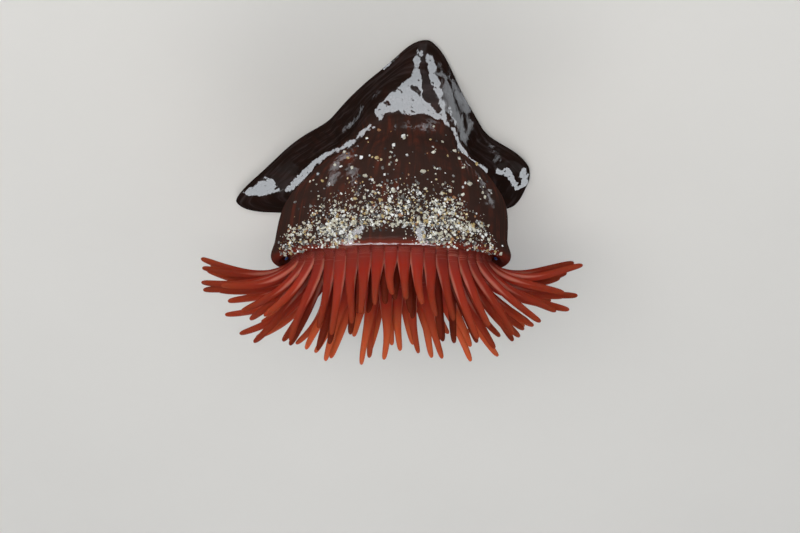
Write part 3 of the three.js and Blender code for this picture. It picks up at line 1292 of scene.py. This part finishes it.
@dataclass(frozen=True)
class FilmRun:
    """A run of water on the column: thick and level, so that it glints as one, a mist, or a gap.

    Each of its points is an angle in degrees, a place on the skin and half its width in
    millimetres. Where that is below 0, only the thickest of a mist shows.
    """

    points: tuple[Triple, ...]
    kind: Film = Film.LEVEL

    def legs(self, column: ColumnForm) -> list[tuple[Vector, Vector, float, float]]:
        """Lay its straight legs on a column.

        Args:
            column: the column that it lies on.

        Returns:
            The two ends of each leg, and the half widths there.
        """
        ends = [(column.skin_point(math.radians(angle), place), wide)
                for angle, place, wide in self.points]
        return [(a, b, near, far) for (a, near), (b, far) in zip(ends, ends[1:])]


FILM_RUNS = (
    # The broad wedge on the ramp: its spine, its left foot and its right foot.
    FilmRun(((81.5, 2.1, 0.45), (81.8, 2.6, 0.55), (81.5, 3.0, 0.65), (82.0, 3.5, 1.0),
             (83.0, 4.0, 1.6), (84.0, 4.4, 2.1))),
    FilmRun(((88.0, 4.35, 1.3), (95.0, 4.5, 1.1), (101.5, 4.65, 0.7), (101.0, 4.9, 0.5))),
    FilmRun(((82.0, 4.45, 1.5), (73.5, 4.65, 0.9), (68.0, 4.9, 0.45))),
    FilmRun(((85.0, 3.6, 0.5), (88.5, 3.95, 0.6), (93.0, 4.25, 0.7), (98.0, 4.5, 0.6))),
    FilmRun(((83.5, 2.85, 0.12), (80.5, 3.1, 0.2), (80.0, 3.3, 0.15)), Film.GAP),
    FilmRun(((85.0, 3.8, 0.15), (81.5, 3.95, 0.35), (79.5, 4.15, 0.3)), Film.GAP),
    FilmRun(((97.0, 4.35, 0.1), (95.0, 4.45, 0.2)), Film.GAP),
    # The thin run down its right side, and along the right shelf.
    FilmRun(((78.6, 2.25, 0.35), (76.6, 2.55, 0.75), (75.6, 2.85, 0.85), (75.6, 3.15, 0.35),
             (74.4, 3.5, 0.7), (73.2, 3.7, 0.7), (70.5, 4.05, 0.4), (68.0, 4.4, 0.45),
             (64.9, 4.78, 0.45), (62.0, 5.06, 0.3), (54.0, 5.16, 0.3), (40.0, 5.14, 0.36),
             (30.0, 5.12, 0.45), (20.0, 5.1, 0.55), (9.0, 4.8, 0.7), (2.0, 4.3, 0.6))),
    FilmRun(((63.0, 4.55, 0.45), (59.0, 4.72, 0.5), (55.5, 4.8, 0.3))),
    # A thread on the foot's margin, left of its near corner.
    FilmRun(((96.0, 1.15, 0.25), (89.0, 1.2, 0.25))),
    # The run along the left shelf, down to the tongue of the foot.
    FilmRun(((109.0, 5.12, 0.2), (124.8, 5.15, 0.3), (142.2, 5.13, 0.38), (151.0, 4.85, 0.6),
             (160.0, 4.5, 0.85), (167.0, 4.2, 0.85), (176.0, 4.2, 0.8), (183.7, 4.07, 0.8),
             (191.0, 3.96, 0.65), (194.5, 3.88, 0.4))),
    FilmRun(((106.0, 5.22, 0.18), (118.0, 5.25, 0.18))),
    # The puddles on the two tongues.
    FilmRun(((194.6, 1.2, 0.25), (194.2, 2.0, 0.6), (192.5, 2.7, 1.2), (190.5, 2.9, 1.2),
             (187.6, 2.1, 0.5))),
    FilmRun(((194.8, 2.9, 0.7), (194.6, 3.5, 0.4))),
    FilmRun(((-1.0, 3.6, 0.4), (-3.0, 3.2, 0.7), (-9.0, 3.1, 0.6), (-15.0, 2.6, 0.4),
             (-11.0, 2.1, 0.8), (-4.0, 2.1, 0.8))),
    # Soft haze: two on the right flank, the left flank, the right tongue, then four on the bell.
    FilmRun(((72.5, 2.5, 0.8), (69.5, 3.1, 1.6), (66.0, 3.7, 2.1), (62.0, 4.2, 2.4),
             (56.0, 4.3, 2.6), (49.0, 4.0, 2.8), (42.0, 3.8, 2.6), (34.0, 3.4, 1.6)), Film.HAZE),
    FilmRun(((66.0, 2.1, 0.5), (59.0, 2.0, 1.3), (52.0, 2.0, 1.6), (45.0, 2.2, 1.6),
             (38.0, 2.6, 1.2)), Film.HAZE),
    FilmRun(((97.0, 3.6, -0.1), (108.0, 3.5, 0.1), (121.0, 3.4, 0.2), (136.0, 3.3, 0.0)),
            Film.HAZE),
    FilmRun(((16.0, 2.6, 0.5), (7.6, 2.9, 0.7)), Film.HAZE),
    FilmRun(((92.0, 5.5, 0.3), (80.0, 5.5, 0.7), (69.6, 5.4, 0.6)), Film.HAZE),
    FilmRun(((115.0, 6.4, 0.3), (121.0, 6.8, 1.0), (124.0, 7.3, 1.5), (122.0, 8.0, 0.9)),
            Film.HAZE),
    FilmRun(((118.0, 7.1, 0.5), (112.0, 7.7, 0.5), (108.0, 8.3, 0.2)), Film.HAZE),
    FilmRun(((50.0, 7.0, 0.5), (44.0, 7.5, 0.7), (35.0, 8.2, 0.9)), Film.HAZE),
    # The bright thread along the lip of the collar, and the wet sand above its two ends.
    FilmRun(tuple((69.0 + 3.75 * i, 9.8, 0.26) for i in range(13))),
    FilmRun(((103.5, 9.15, 0.4), (107.0, 9.4, 0.8), (111.0, 9.66, 0.6))),
    FilmRun(((75.0, 9.0, 0.5), (76.0, 9.35, 0.8), (74.0, 9.68, 0.7))),
)


@dataclass
class AnemoneSkin:
    """The one skin of the whole animal.

    A cage starts as a small circle under the foot, and is drawn out ring by ring, over the foot's
    margin, up the column, over the collar and across the disc into the mouth. The faces of the
    disc's rim where tentacles root are then drawn out section by section, and the cage is
    subdivided once.
    """

    column: ColumnForm = field(default_factory=ColumnForm)
    finish: FleshFinish = field(default_factory=FleshFinish)
    sole_shares: tuple[float, ...] = (0.12, 0.4, 0.7, 0.9)
    column_places: tuple[float, ...] = (
        0, 0.35, 0.7, 1.0, 1.4, 1.8, 2.2, 2.6, 3.0, 3.3, 3.6, 3.9, 4.2, 4.5, 4.75, 4.93, 5.03,
        5.08, 5.12, 5.16, 5.2, 5.25, 5.33, 5.45, 5.65, 5.9, 6.2, 6.55, 6.9, 7.25, 7.6, 8.0, 8.33,
        8.67, 9.0)
    tentacle_shares: tuple[float, ...] = (
        0.09, 0.19, 0.3, 0.41, 0.52, 0.63, 0.74, 0.85, 0.93, 0.98, 1.0)
    tip_shrink: tuple[float, ...] = (1.0, 0.84, 0.5)
    tip_point: float = 0.3
    root_core: dict[int, Pair] = field(
        default_factory=lambda: {2: (0.4, 1.0), 3: (0.48, 1.15)})
    root_shade_share: float = 0.45
    painted_rim_reach: float = 1.4
    flow_sizes: Triple = (18.0, 40.0, 4.0)
    flow_step: float = 7.3
    bumps: Triple = (0.12, 5.0, 0.1)
    plain_tone: float = 0.5
    damp_run: Pair = (-0.35, 0.05)
    wet_crown: float = 0.9
    driest: float = -5.0
    piece: bpy.types.Object | None = None
    rows: int = 0

    def tentacles(self) -> list[Tentacle]:
        """Set out every tentacle.

        Returns:
            The tentacles, sector by sector in each ring.
        """
        made = []
        for number, ring in enumerate(TENTACLE_RINGS):
            for sector in range(SECTORS):
                for i, share in enumerate(ring.places):
                    angle = math.radians(SECTOR_START + (sector + share) * 360 / SECTORS)
                    made.append(Tentacle(number, sector * len(ring.places) + i, angle))
        return made

    def start(self) -> None:
        """Add the small closed circle under the middle of the foot, ready to be drawn out."""
        self.piece = new_object(bpy.ops.mesh.primitive_circle_add, "anemone_skin",
                                vertices=COLUMNS, radius=MM)
        bpy.ops.object.mode_set(mode="EDIT")
        bpy.ops.mesh.select_mode(type="EDGE")
        bpy.ops.mesh.fill()
        mesh = bmesh.from_edit_mesh(self.piece.data)
        for name in ("crown", "along", "tone", "shade_depth", "rise", "edge", "turn", "share"):
            mesh.verts.layers.float.new(name)
        mesh.verts.layers.float_vector.new("flow")
        for name in ("row", "column", "tentacle"):
            mesh.verts.layers.int.new(name)
        number = mesh.verts.layers.int["column"]
        for vert in mesh.verts:
            share = math.atan2(vert.co.y, vert.co.x) / FULL_TURN
            vert[number] = round(share * COLUMNS) % COLUMNS
        for edge in mesh.edges:
            edge.select = edge.is_boundary
        bmesh.update_edit_mesh(self.piece.data)

    def place_ring(self, place: Callable[[float], Vector], crown: float, shade_depth: float,
                   rise: float) -> None:
        """Move the ring of points that is selected.

        Args:
            place: finds a point in the row's frame, in millimetres, from an angle.
            crown: how far it belongs to the crown, from 0 to 1.
            shade_depth: how deep it lies in the disc, from 0 to 1.
            rise: its height along the column, from 0 to 1.
        """
        mesh = bmesh.from_edit_mesh(self.piece.data)
        floats, whole = mesh.verts.layers.float, mesh.verts.layers.int
        flow = mesh.verts.layers.float_vector["flow"]
        around, upward, inward = self.flow_sizes
        for vert in mesh.verts:
            if not vert.select:
                continue
            angle = column_angle(vert[whole["column"]])
            vert.co = place(angle) * MM
            vert[whole["row"]] = self.rows
            vert[floats["crown"]] = crown
            # Its depth in the groove and the disc, which paints shade on its colour.
            vert[floats["shade_depth"]] = shade_depth
            vert[floats["rise"]] = rise
            vert[floats["tone"]] = self.plain_tone
            vert[flow] = (around * math.cos(angle), around * math.sin(angle),
                          upward * rise + inward * shade_depth)
        bmesh.update_edit_mesh(self.piece.data)
        self.rows += 1

    def draw_out_body(self) -> int:
        """Draw the cage out ring by ring, from the sole to the bottom of the mouth.

        Returns:
            The number of the row where the tentacles' rows begin.
        """
        top = self.column.top
        for share in self.sole_shares:
            if self.rows:
                bpy.ops.mesh.extrude_region_move()
            self.place_ring(lambda angle: self.column.point(angle, 0, share), 0, 0, 0)
        for place in self.column_places:
            bpy.ops.mesh.extrude_region_move()
            self.place_ring(lambda angle: self.column.point(angle, place), 0, 0, place / top)
        rim = self.rows + len(COLLAR_HOOPS)
        for hoop in COLLAR_HOOPS + ROOT_HOOPS + DISC_HOOPS:
            bpy.ops.mesh.extrude_region_move()
            self.place_ring(lambda angle: self.hoop_point(hoop, angle), hoop.crown, hoop.shade_depth, 1)
        bpy.ops.mesh.fill()
        return rim

    def hoop_point(self, hoop: Hoop, angle: float) -> Vector:
        """Find a point of one of the crown's hoops, with the skin's soft bumps.

        Args:
            hoop: the hoop.
            angle: the direction, in radians.

        Returns:
            The point in the row's frame, in millimetres.
        """
        depth, count, change = self.bumps
        flat = Vector((math.cos(angle), hoop.narrow * math.sin(angle), 0)) * hoop.radius
        flat.z = hoop.height
        at = Vector((math.cos(angle), math.sin(angle), change * hoop.radius)) * count
        flat.z += depth * noise.noise(at)
        return self.column.crown.matrix() @ flat

    def mark_roots(self, rim: int) -> list[Tentacle]:
        """Select the faces that the tentacles grow from, and mark each point with its tentacle.

        Args:
            rim: the row where the tentacles' rows begin.

        Returns:
            The tentacles. A point's mark is its tentacle's place in the list, counted from 1.
        """
        bpy.ops.mesh.select_mode(type="FACE")
        bpy.ops.mesh.select_all(action="DESELECT")
        mesh = bmesh.from_edit_mesh(self.piece.data)
        floats, whole = mesh.verts.layers.float, mesh.verts.layers.int
        faces = {}
        for face in mesh.faces:
            if len(face.verts) != 4:
                continue
            row = min(vert[whole["row"]] for vert in face.verts)
            columns = sorted({vert[whole["column"]] for vert in face.verts})
            column = columns[1] if columns == [0, COLUMNS - 1] else columns[0]
            faces[row, column] = face
        grown = self.tentacles()
        for number, tentacle in enumerate(grown, start=1):
            ring = tentacle.kind
            turn = (math.degrees(tentacle.angle) - SECTOR_START) / SLOT_WIDTH
            first = 3 * round(turn - 1) + 1 if ring.straddles else 3 * round(turn - 0.5)
            width = 3 if ring.straddles else 2
            core, squeeze = self.root_core[width]
            root = {faces[rim + ring.first_row + i, (first + j) % COLUMNS]
                    for i in range(2) for j in range(width)}
            for face in root:
                face.select = True
            for vert in {vert for face in root for vert in face.verts}:
                row = vert[whole["row"]] - rim - ring.first_row
                angle = column_angle(vert[whole["column"]])
                across = math.sin(angle - tentacle.angle) * ring.root[0]
                inner = row == 1 and abs(across) < core * ring.radius
                vert[whole["tentacle"]] = number
                vert[floats["turn"]] = math.atan2(row - 1, across * squeeze)
                vert[floats["share"]] = abs(across) / ring.radius if inner else 1.0
        bmesh.update_edit_mesh(self.piece.data)
        return grown

    def grow_tentacles(self, grown: list[Tentacle]) -> None:
        """Draw all the tentacles out together, section by section.

        Args:
            grown: the tentacles that the selected faces are marked for.
        """
        paths = [tentacle.stations(self.tentacle_shares) for tentacle in grown]
        crown = self.column.crown.matrix()
        last = len(self.tentacle_shares) - 1
        for step in range(last + 1):
            bpy.ops.mesh.extrude_region_move()
            mesh = bmesh.from_edit_mesh(self.piece.data)
            floats, whole = mesh.verts.layers.float, mesh.verts.layers.int
            flow = mesh.verts.layers.float_vector["flow"]
            shrink = self.tip_shrink[max(0, step - last + len(self.tip_shrink) - 1)]
            for vert in mesh.verts:
                if not vert.select:
                    continue
                number = vert[whole["tentacle"]] - 1
                at = paths[number][step]
                turn, share = vert[floats["turn"]], vert[floats["share"]]
                wide, thick = grown[number].section(at.share)
                radius = at.radius * share * shrink
                point = at.point + at.side * radius * wide * math.cos(turn)
                point += at.up * radius * thick * math.sin(turn)
                if step == last and share < 1:
                    point += at.along * self.tip_point * at.radius
                vert.co = (crown @ point) * MM
                vert[floats["crown"]] = 1.0
                vert[floats["along"]] = at.share
                # The roots keep part of the disc's painted shade.
                vert[floats["shade_depth"]] *= self.root_shade_share
                # Its brightness, with the painted shade and light of its place in the crown.
                vert[floats["tone"]] = grown[number].tone
                # Painted rim light, palest at the tentacle's sides and fading towards the tip.
                vert[floats["edge"]] = abs(math.cos(turn)) * min(1.0, self.painted_rim_reach - at.share)
                lengthwise = at.share * grown[number].length + self.flow_step * number
                vert[flow] = (at.radius * math.cos(turn), at.radius * math.sin(turn), lengthwise)
            bmesh.update_edit_mesh(self.piece.data)

    def wet(self) -> None:
        """Mark each point with how far it lies inside the water's runs, and how wet its skin is."""
        legs = [(run.kind, *leg) for run in FILM_RUNS for leg in run.legs(self.column)]
        mesh = self.piece.data
        crowns = mesh.attributes["crown"].data
        depths = {kind: [] for kind in Film}
        damp = []
        for vert, crown in zip(mesh.vertices, crowns):
            damp.append(1 - smooth_step(*self.damp_run, vert.normal.y + vert.normal.z))
            deepest = dict.fromkeys(Film, self.driest)
            if crown.value < self.wet_crown and damp[-1] < 1:
                point = vert.co / MM
                for kind, start, end, near, far in legs:
                    _, share = intersect_point_line(point, start, end)
                    share = min(1.0, max(0.0, share))
                    gap = (start.lerp(end, share) - point).length
                    deepest[kind] = max(deepest[kind], near + (far - near) * share - gap)
            for kind, depth in deepest.items():
                depths[kind].append(depth)
        for name, values in [("damp", damp), *((kind.value, depths[kind]) for kind in Film)]:
            mesh.attributes.new(name, "FLOAT", "POINT").data.foreach_set("value", values)

    def build(self) -> bpy.types.Object:
        """Make the skin and dress it.

        Returns:
            The finished skin.
        """
        self.start()
        rim = self.draw_out_body()
        self.grow_tentacles(self.mark_roots(rim))
        bpy.ops.mesh.select_all(action="SELECT")
        bpy.ops.mesh.normals_make_consistent(inside=False)
        bpy.ops.object.mode_set(mode="OBJECT")
        for name in ("row", "column", "tentacle"):
            self.piece.data.attributes.remove(self.piece.data.attributes[name])
        apply_modifier(self.piece, "SUBSURF", levels=1, render_levels=1)
        bpy.ops.object.shade_smooth()
        self.wet()
        settle(self.piece, "column_skin", self.finish.make())
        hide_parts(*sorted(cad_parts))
        return self.piece


# ---- What sits on the skin ----


@dataclass
class StingingBeads:
    """The ring of blue beads in the groove round the tentacles.

    They are smaller and sit deeper on the near side, where the tentacles hang over the groove.
    """

    crown: CrownFrame = field(default_factory=CrownFrame)
    finish: BeadFinish = field(default_factory=BeadFinish)
    count: int = 24
    radius: float = 0.7
    ring: float = 18.15
    height: float = -2.0
    tilt: float = 14.0
    base_height: float = -0.3
    base_size: float = 0.7
    near_run: Pair = (-0.6, -0.1)
    shrink: float = 0.35
    drop: float = 0.55
    play: float = 0.12
    draw: int = 9

    def model(self) -> bpy.types.Object:
        """Shape one bead at the origin: a ball that is drawn in at its base.

        Returns:
            The bead.
        """
        bead = new_object(bpy.ops.mesh.primitive_uv_sphere_add, "bead_model",
                          segments=16, ring_count=10, radius=self.radius * MM)
        bpy.ops.object.mode_set(mode="EDIT")
        bpy.ops.mesh.select_all(action="DESELECT")
        mesh = bmesh.from_edit_mesh(bead.data)
        for vert in mesh.verts:
            vert.select = vert.co.z < self.base_height * self.radius * MM
        mesh.select_flush(True)
        bmesh.update_edit_mesh(bead.data)
        bpy.ops.transform.resize(value=(self.base_size, self.base_size, 1.0))
        bpy.ops.object.mode_set(mode="OBJECT")
        return bead

    def build(self) -> None:
        """Copy the bead round the groove, join the copies and dress them."""
        model = self.model()
        copies = []
        lean = self.crown.matrix().to_quaternion().to_matrix().to_4x4()
        centre = Matrix.Translation(Vector(self.crown.centre) * MM)
        for i in range(self.count):
            angle = (i + 0.5) / self.count * FULL_TURN
            deep = smooth_step(*self.near_run, math.sin(angle))
            size = (1 + self.play * chance(self.draw, i, 1)) * (1 - self.shrink * deep)
            height = self.height - self.drop * deep
            spot = Vector((self.ring * math.cos(angle), self.ring * math.sin(angle), height)) * MM
            tilt = Matrix.Rotation(angle, 4, "Z")
            tilt = tilt @ Matrix.Rotation(math.radians(self.tilt), 4, "Y")
            copy = link_new(f"bead_{i}", model.data.copy())
            place = centre @ lean @ Matrix.Translation(spot) @ tilt @ Matrix.Scale(size, 4)
            copy.data.transform(place)
            copies.append(copy)
        bpy.data.objects.remove(model)
        select_only(*copies)
        bpy.ops.object.join()
        piece = bpy.context.object
        piece.name = "acrorhagi"
        bpy.ops.object.shade_smooth()
        settle(piece, "acrorhagi_blue", self.finish.make())


@dataclass(frozen=True)
class Heap:
    """A place where more sand lies: its middle, its reach each way, and how thick it is."""

    angle: float
    angle_reach: float
    place: float
    place_reach: float
    share: float

    def thickness(self, angle: float, place: float) -> float:
        """Find how much sand it adds.

        Args:
            angle: degrees from the middle of the near side.
            place: the place on the skin.

        Returns:
            The share that it adds, from 0 to 1.
        """
        across = (angle - self.angle) / self.angle_reach
        up = (place - self.place) / self.place_reach
        return self.share * math.exp(-across ** 2 - up ** 2)


@dataclass
class SandGrains:
    """The grains of sand that cling to the near side of the column.

    They are thickest in an arched band, which thins to its ends and leaves the middle of the lip
    bare. Some stray up the bell. Angles are in degrees from the middle of the near side. A grain's
    place is a level of the column, or past its top, a share of the way over the collar's outside.
    Sizes are in millimetres, and fades are where something starts to thin and where it ends. The
    map gives each grain a patch of its own.
    """

    column: ColumnForm = field(default_factory=ColumnForm)
    finish: SandFinish = field(default_factory=SandFinish)
    near_side: float = 90.0
    half_width: float = 76.0
    seed: int = 11
    model_count: int = 6
    model_size: float = 0.85
    cuts: int = 4
    cut_depth: Pair = (0.36, 0.46)
    cut_play: float = 0.6
    weld: float = 0.04
    stretch: Pair = (0.75, 1.2)
    sunk: float = 0.22
    patch: float = 0.003
    map_degrees: float = 180.0
    map_places: Pair = (4.0, 7.0)

    band_count: int = 3700
    band_places: Pair = (7.6, 9.95)
    band_middle: float = 8.72
    band_sag: float = 1.3
    band_height: float = 0.4
    band_flare: float = 0.2
    smallest: float = 0.12
    largest: float = 0.52
    fineness: float = 3.0
    left_thinning: float = 1.05
    right_thinning: float = 0.86
    end_fade: Pair = (0.6, 0.96)
    patchiness: Pair = (0.55, 0.6)
    patch_scale: Triple = (0.09, 2.2, 3.0)
    clump: Heap = Heap(-24, 9, 8.6, 0.22, 0.7)
    corners: Heap = Heap(22, 8, 9.5, 0.4, 0.5)

    bare_middle: float = 2.0
    bare_width: float = 12.0
    bare_fade: Pair = (9.1, 9.3)
    bare_share: float = 0.93
    lip_width: float = 25.0
    lip_place: float = 9.7

    stray_count: int = 135
    stray_width: float = 34.0
    stray_top: float = 8.4
    stray_reach: float = 1.25
    stray_end: float = 5.2
    stray_size: Pair = (0.2, 0.5)

    def models(self) -> list[bpy.types.Object]:
        """Shape a few grains, each a small block with its corners cut to facets of its own.

        Returns:
            The grains, about one unit across.
        """
        made = []
        draw = random.Random(self.seed)
        for i in range(self.model_count):
            grain = new_object(bpy.ops.mesh.primitive_cube_add, f"grain_model_{i}",
                               size=self.model_size)
            bpy.ops.object.mode_set(mode="EDIT")
            for corner in range(self.cuts):
                way = Vector([1 if corner & bit else -1 for bit in (1, 2)] + [(-1) ** (corner > 1)])
                way += Vector([draw.uniform(-self.cut_play, self.cut_play) for _ in range(3)])
                way.normalize()
                bpy.ops.mesh.select_all(action="SELECT")
                bpy.ops.mesh.bisect(plane_co=way * draw.uniform(*self.cut_depth), plane_no=way,
                                    use_fill=True, clear_outer=True)
            bpy.ops.mesh.select_all(action="SELECT")
            bpy.ops.mesh.remove_doubles(threshold=self.weld)
            bpy.ops.mesh.normals_make_consistent(inside=False)
            bpy.ops.object.mode_set(mode="OBJECT")
            made.append(grain)
        return made

    def band_share(self, angle: float, place: float) -> float:
        """Find how thick the sand lies in the band.

        Args:
            angle: degrees from the middle of the near side.
            place: the place on the skin.

        Returns:
            The share of the grains drawn there that stay, from 0 to 1.
        """
        side = abs(angle) / self.half_width
        middle = self.band_middle + self.band_sag * side * side
        height = self.band_height + self.band_flare * side
        thick = math.exp(-((place - middle) / height) ** 2)
        off = angle - self.bare_middle
        bare = math.exp(-(off / self.bare_width) ** 4) * smooth_step(*self.bare_fade, place)
        thinning = self.right_thinning if angle > 0 else self.left_thinning
        edge = (1 - thinning * side) * (1 - smooth_step(*self.end_fade, side))
        across, up, layer = self.patch_scale
        least, depth = self.patchiness
        patch = least + depth * noise.noise(Vector((angle * across, place * up, layer)))
        heaps = self.clump.thickness(angle, place), self.corners.thickness(abs(off), place)
        thick = thick * patch + heaps[0] + heaps[1]
        return min(1.0, thick * edge * (1 - self.bare_share * bare))

    def spots(self) -> list[Triple]:
        """Draw the grains' places and sizes.

        Returns:
            An angle, a place and a size for each grain.
        """
        draw = random.Random(self.seed + 1)
        made = []
        while len(made) < self.band_count:
            angle = draw.uniform(-self.half_width, self.half_width)
            place = draw.uniform(*self.band_places)
            bare_lip = abs(angle) < self.lip_width and place > self.lip_place
            if draw.random() < self.band_share(angle, place) and not bare_lip:
                share = draw.random() ** self.fineness
                made.append((angle, place, self.smallest + (self.largest - self.smallest) * share))
        for _ in range(self.stray_count):
            angle = draw.gauss(0, self.stray_width)
            place = self.stray_top - abs(draw.gauss(0, self.stray_reach))
            size = self.stray_size[0] + self.stray_size[1] * draw.random() ** 2
            if abs(angle) < self.half_width and place > self.stray_end:
                made.append((angle, place, size))
        return made

    def build(self, skin: bpy.types.Object) -> None:
        """Set the grains on the skin, as one mesh with a map of its own.

        Args:
            skin: the finished skin that they lie on.
        """
        models = self.models()
        shapes = []
        for model in models:
            corners = [vert.co.copy() for vert in model.data.vertices]
            shapes.append((corners, [tuple(face.vertices) for face in model.data.polygons]))
        for model in models:
            bpy.data.objects.remove(model)
        tree = BVHTree.FromObject(skin, bpy.context.evaluated_depsgraph_get())
        draw = random.Random(self.seed + 2)
        points, faces, tints, patches = [], [], [], []
        start, height = self.map_places
        for angle, place, size in self.spots():
            near = self.column.skin_point(math.radians(self.near_side + angle), place)
            spot, normal, _, _ = tree.find_nearest(near * MM)
            corners, sides = shapes[draw.randrange(len(shapes))]
            turn = Matrix.Rotation(draw.uniform(0, FULL_TURN), 3, "Z")
            turn = turn @ Matrix.Rotation(draw.uniform(0, FULL_TURN), 3, "X")
            scale = Matrix.Diagonal([size * MM * draw.uniform(*self.stretch) for _ in range(3)])
            middle = spot + normal * size * MM * self.sunk
            first = len(points)
            tint = draw.random()
            for corner in corners:
                points.append(middle + turn @ (scale @ corner))
                tints.append(tint)
                patches.append((0.5 + angle / self.map_degrees + corner[0] * self.patch,
                                (place - start) / height + corner[1] * self.patch))
            faces += [tuple(first + i for i in side) for side in sides]
        mesh = bpy.data.meshes.new("sand_grains")
        mesh.from_pydata(points, [], faces)
        mesh.attributes.new("tint", "FLOAT", "POINT").data.foreach_set("value", tints)
        chart = mesh.uv_layers.new(name="OFBake")
        for loop in mesh.loops:
            chart.data[loop.index].uv = patches[loop.vertex_index]
        piece = link_new("sand_grains", mesh)
        settle(piece, "sand_grains", self.finish.make())


# ---- The studio ----


@dataclass(frozen=True)
class Softbox:
    """A rectangle of soft light that faces the animal.

    Its place is given by how far round it stands from +Y, how high, both in degrees, and its
    distance. Radiance is how bright its face looks, and tint its colour. One that is gloss only
    shows in reflections and lights nothing else. Lengths here are in metres.
    """

    name: str
    around: float
    elevation: float
    distance: float
    width: float
    height: float
    radiance: float
    gloss_only: bool = False
    tint: Triple = (1.0, 1.0, 1.0)

    def build(self, target: Vector) -> None:
        """Set the light up.

        Args:
            target: the point that it faces, in metres.
        """
        around, lift = math.radians(self.around), math.radians(self.elevation)
        away = Vector((-math.sin(around) * math.cos(lift), math.cos(around) * math.cos(lift),
                       math.sin(lift)))
        lamp = bpy.data.lights.new(self.name, "AREA")
        lamp.shape = "RECTANGLE"
        lamp.size = self.width
        lamp.size_y = self.height
        lamp.energy = self.radiance * math.pi * self.width * self.height
        lamp.color = self.tint
        light = link_new(self.name, lamp)
        light.location = target + away * self.distance
        light.rotation_euler = (-away).to_track_quat("-Z", "Y").to_euler()
        light.visible_diffuse = not self.gloss_only
        light.visible_transmission = not self.gloss_only


@dataclass
class Studio:
    """The pale floor, the soft lights and the camera.

    The camera looks down on the near side, and is rolled half a turn, so that the crown hangs
    below the foot in the picture. Its aim is in millimetres and other lengths are in metres.
    """

    crown: CrownFrame = field(default_factory=CrownFrame)
    floor_finish: FloorFinish = field(default_factory=FloorFinish)
    floor_side: float = 6.0
    floor_gap: float = 0.00002
    elevation: float = 45.0
    distance: float = 0.339
    lens: float = 90.0
    sensor: float = 36.0
    nearest: float = 0.01
    aim: Triple = (0.53, -0.24, 27.54)
    light_aim: float = 0.6
    world_colour: Triple = (0.82, 0.88, 1.0)
    world_strength: float = 0.3
    lights: tuple[Softbox, ...] = (
        Softbox("key_light", 12.0, 45.0, 0.6, 0.4, 0.3, 7.0),
        Softbox("fill_light", -60.0, 40.0, 0.6, 0.3, 0.3, 0.6),
        Softbox("back_light", 180.0, 45.0, 0.6, 0.4, 0.3, 2.4),
        Softbox("near_window", 6.0, 40.0, 0.45, 0.34, 0.3, 51.0, True, (0.88, 0.94, 1.0)),
        Softbox("left_window", 112.0, 30.0, 0.45, 0.2, 0.2, 30.0, True),
        Softbox("right_window", -103.0, 25.0, 0.45, 0.15, 0.22, 30.0, True),
    )

    def build_floor(self) -> None:
        """Lay the floor just under the sole."""
        floor = new_object(bpy.ops.mesh.primitive_plane_add, "floor",
                           size=self.floor_side, location=(0, 0, -self.floor_gap))
        bpy.ops.object.transform_apply(location=True, rotation=False, scale=False)
        floor.data.materials.append(self.floor_finish.make())

    def build_world(self) -> None:
        """Fill the studio with a soft even light."""
        world = bpy.data.worlds.new("studio")
        world.use_nodes = True
        background = world.node_tree.nodes["Background"]
        background.inputs["Color"].default_value = (*self.world_colour, 1.0)
        background.inputs["Strength"].default_value = self.world_strength
        bpy.context.scene.world = world

    def build_camera(self) -> None:
        """Set the camera up."""
        lift = math.radians(self.elevation)
        right = Vector((1, 0, 0))
        back = Vector((0, math.cos(lift), math.sin(lift)))
        up = back.cross(right)
        data = bpy.data.cameras.new("camera")
        data.lens = self.lens
        data.sensor_width = self.sensor
        data.clip_start = self.nearest
        camera = link_new("camera", data)
        place = Vector(self.aim) * MM + back * self.distance
        axes = Matrix((right, up, back)).transposed().to_4x4()
        camera.matrix_world = Matrix.Translation(place) @ axes
        bpy.context.scene.camera = camera

    def build(self) -> None:
        """Set up the whole studio."""
        self.build_floor()
        self.build_world()
        target = Vector(self.crown.centre) * MM * self.light_aim
        for light in self.lights:
            light.build(target)
        self.build_camera()
        bpy.context.scene.view_settings.view_transform = "Standard"


def main() -> None:
    """Build the pieces in order."""
    logging.basicConfig(level=logging.INFO, format="%(name)s: %(message)s")
    column = ColumnForm()
    skin = AnemoneSkin(column=column).build()
    StingingBeads(crown=column.crown).build()
    SandGrains(column=column).build(skin)
    Studio(crown=column.crown).build()


if __name__ == "__main__":
    main()
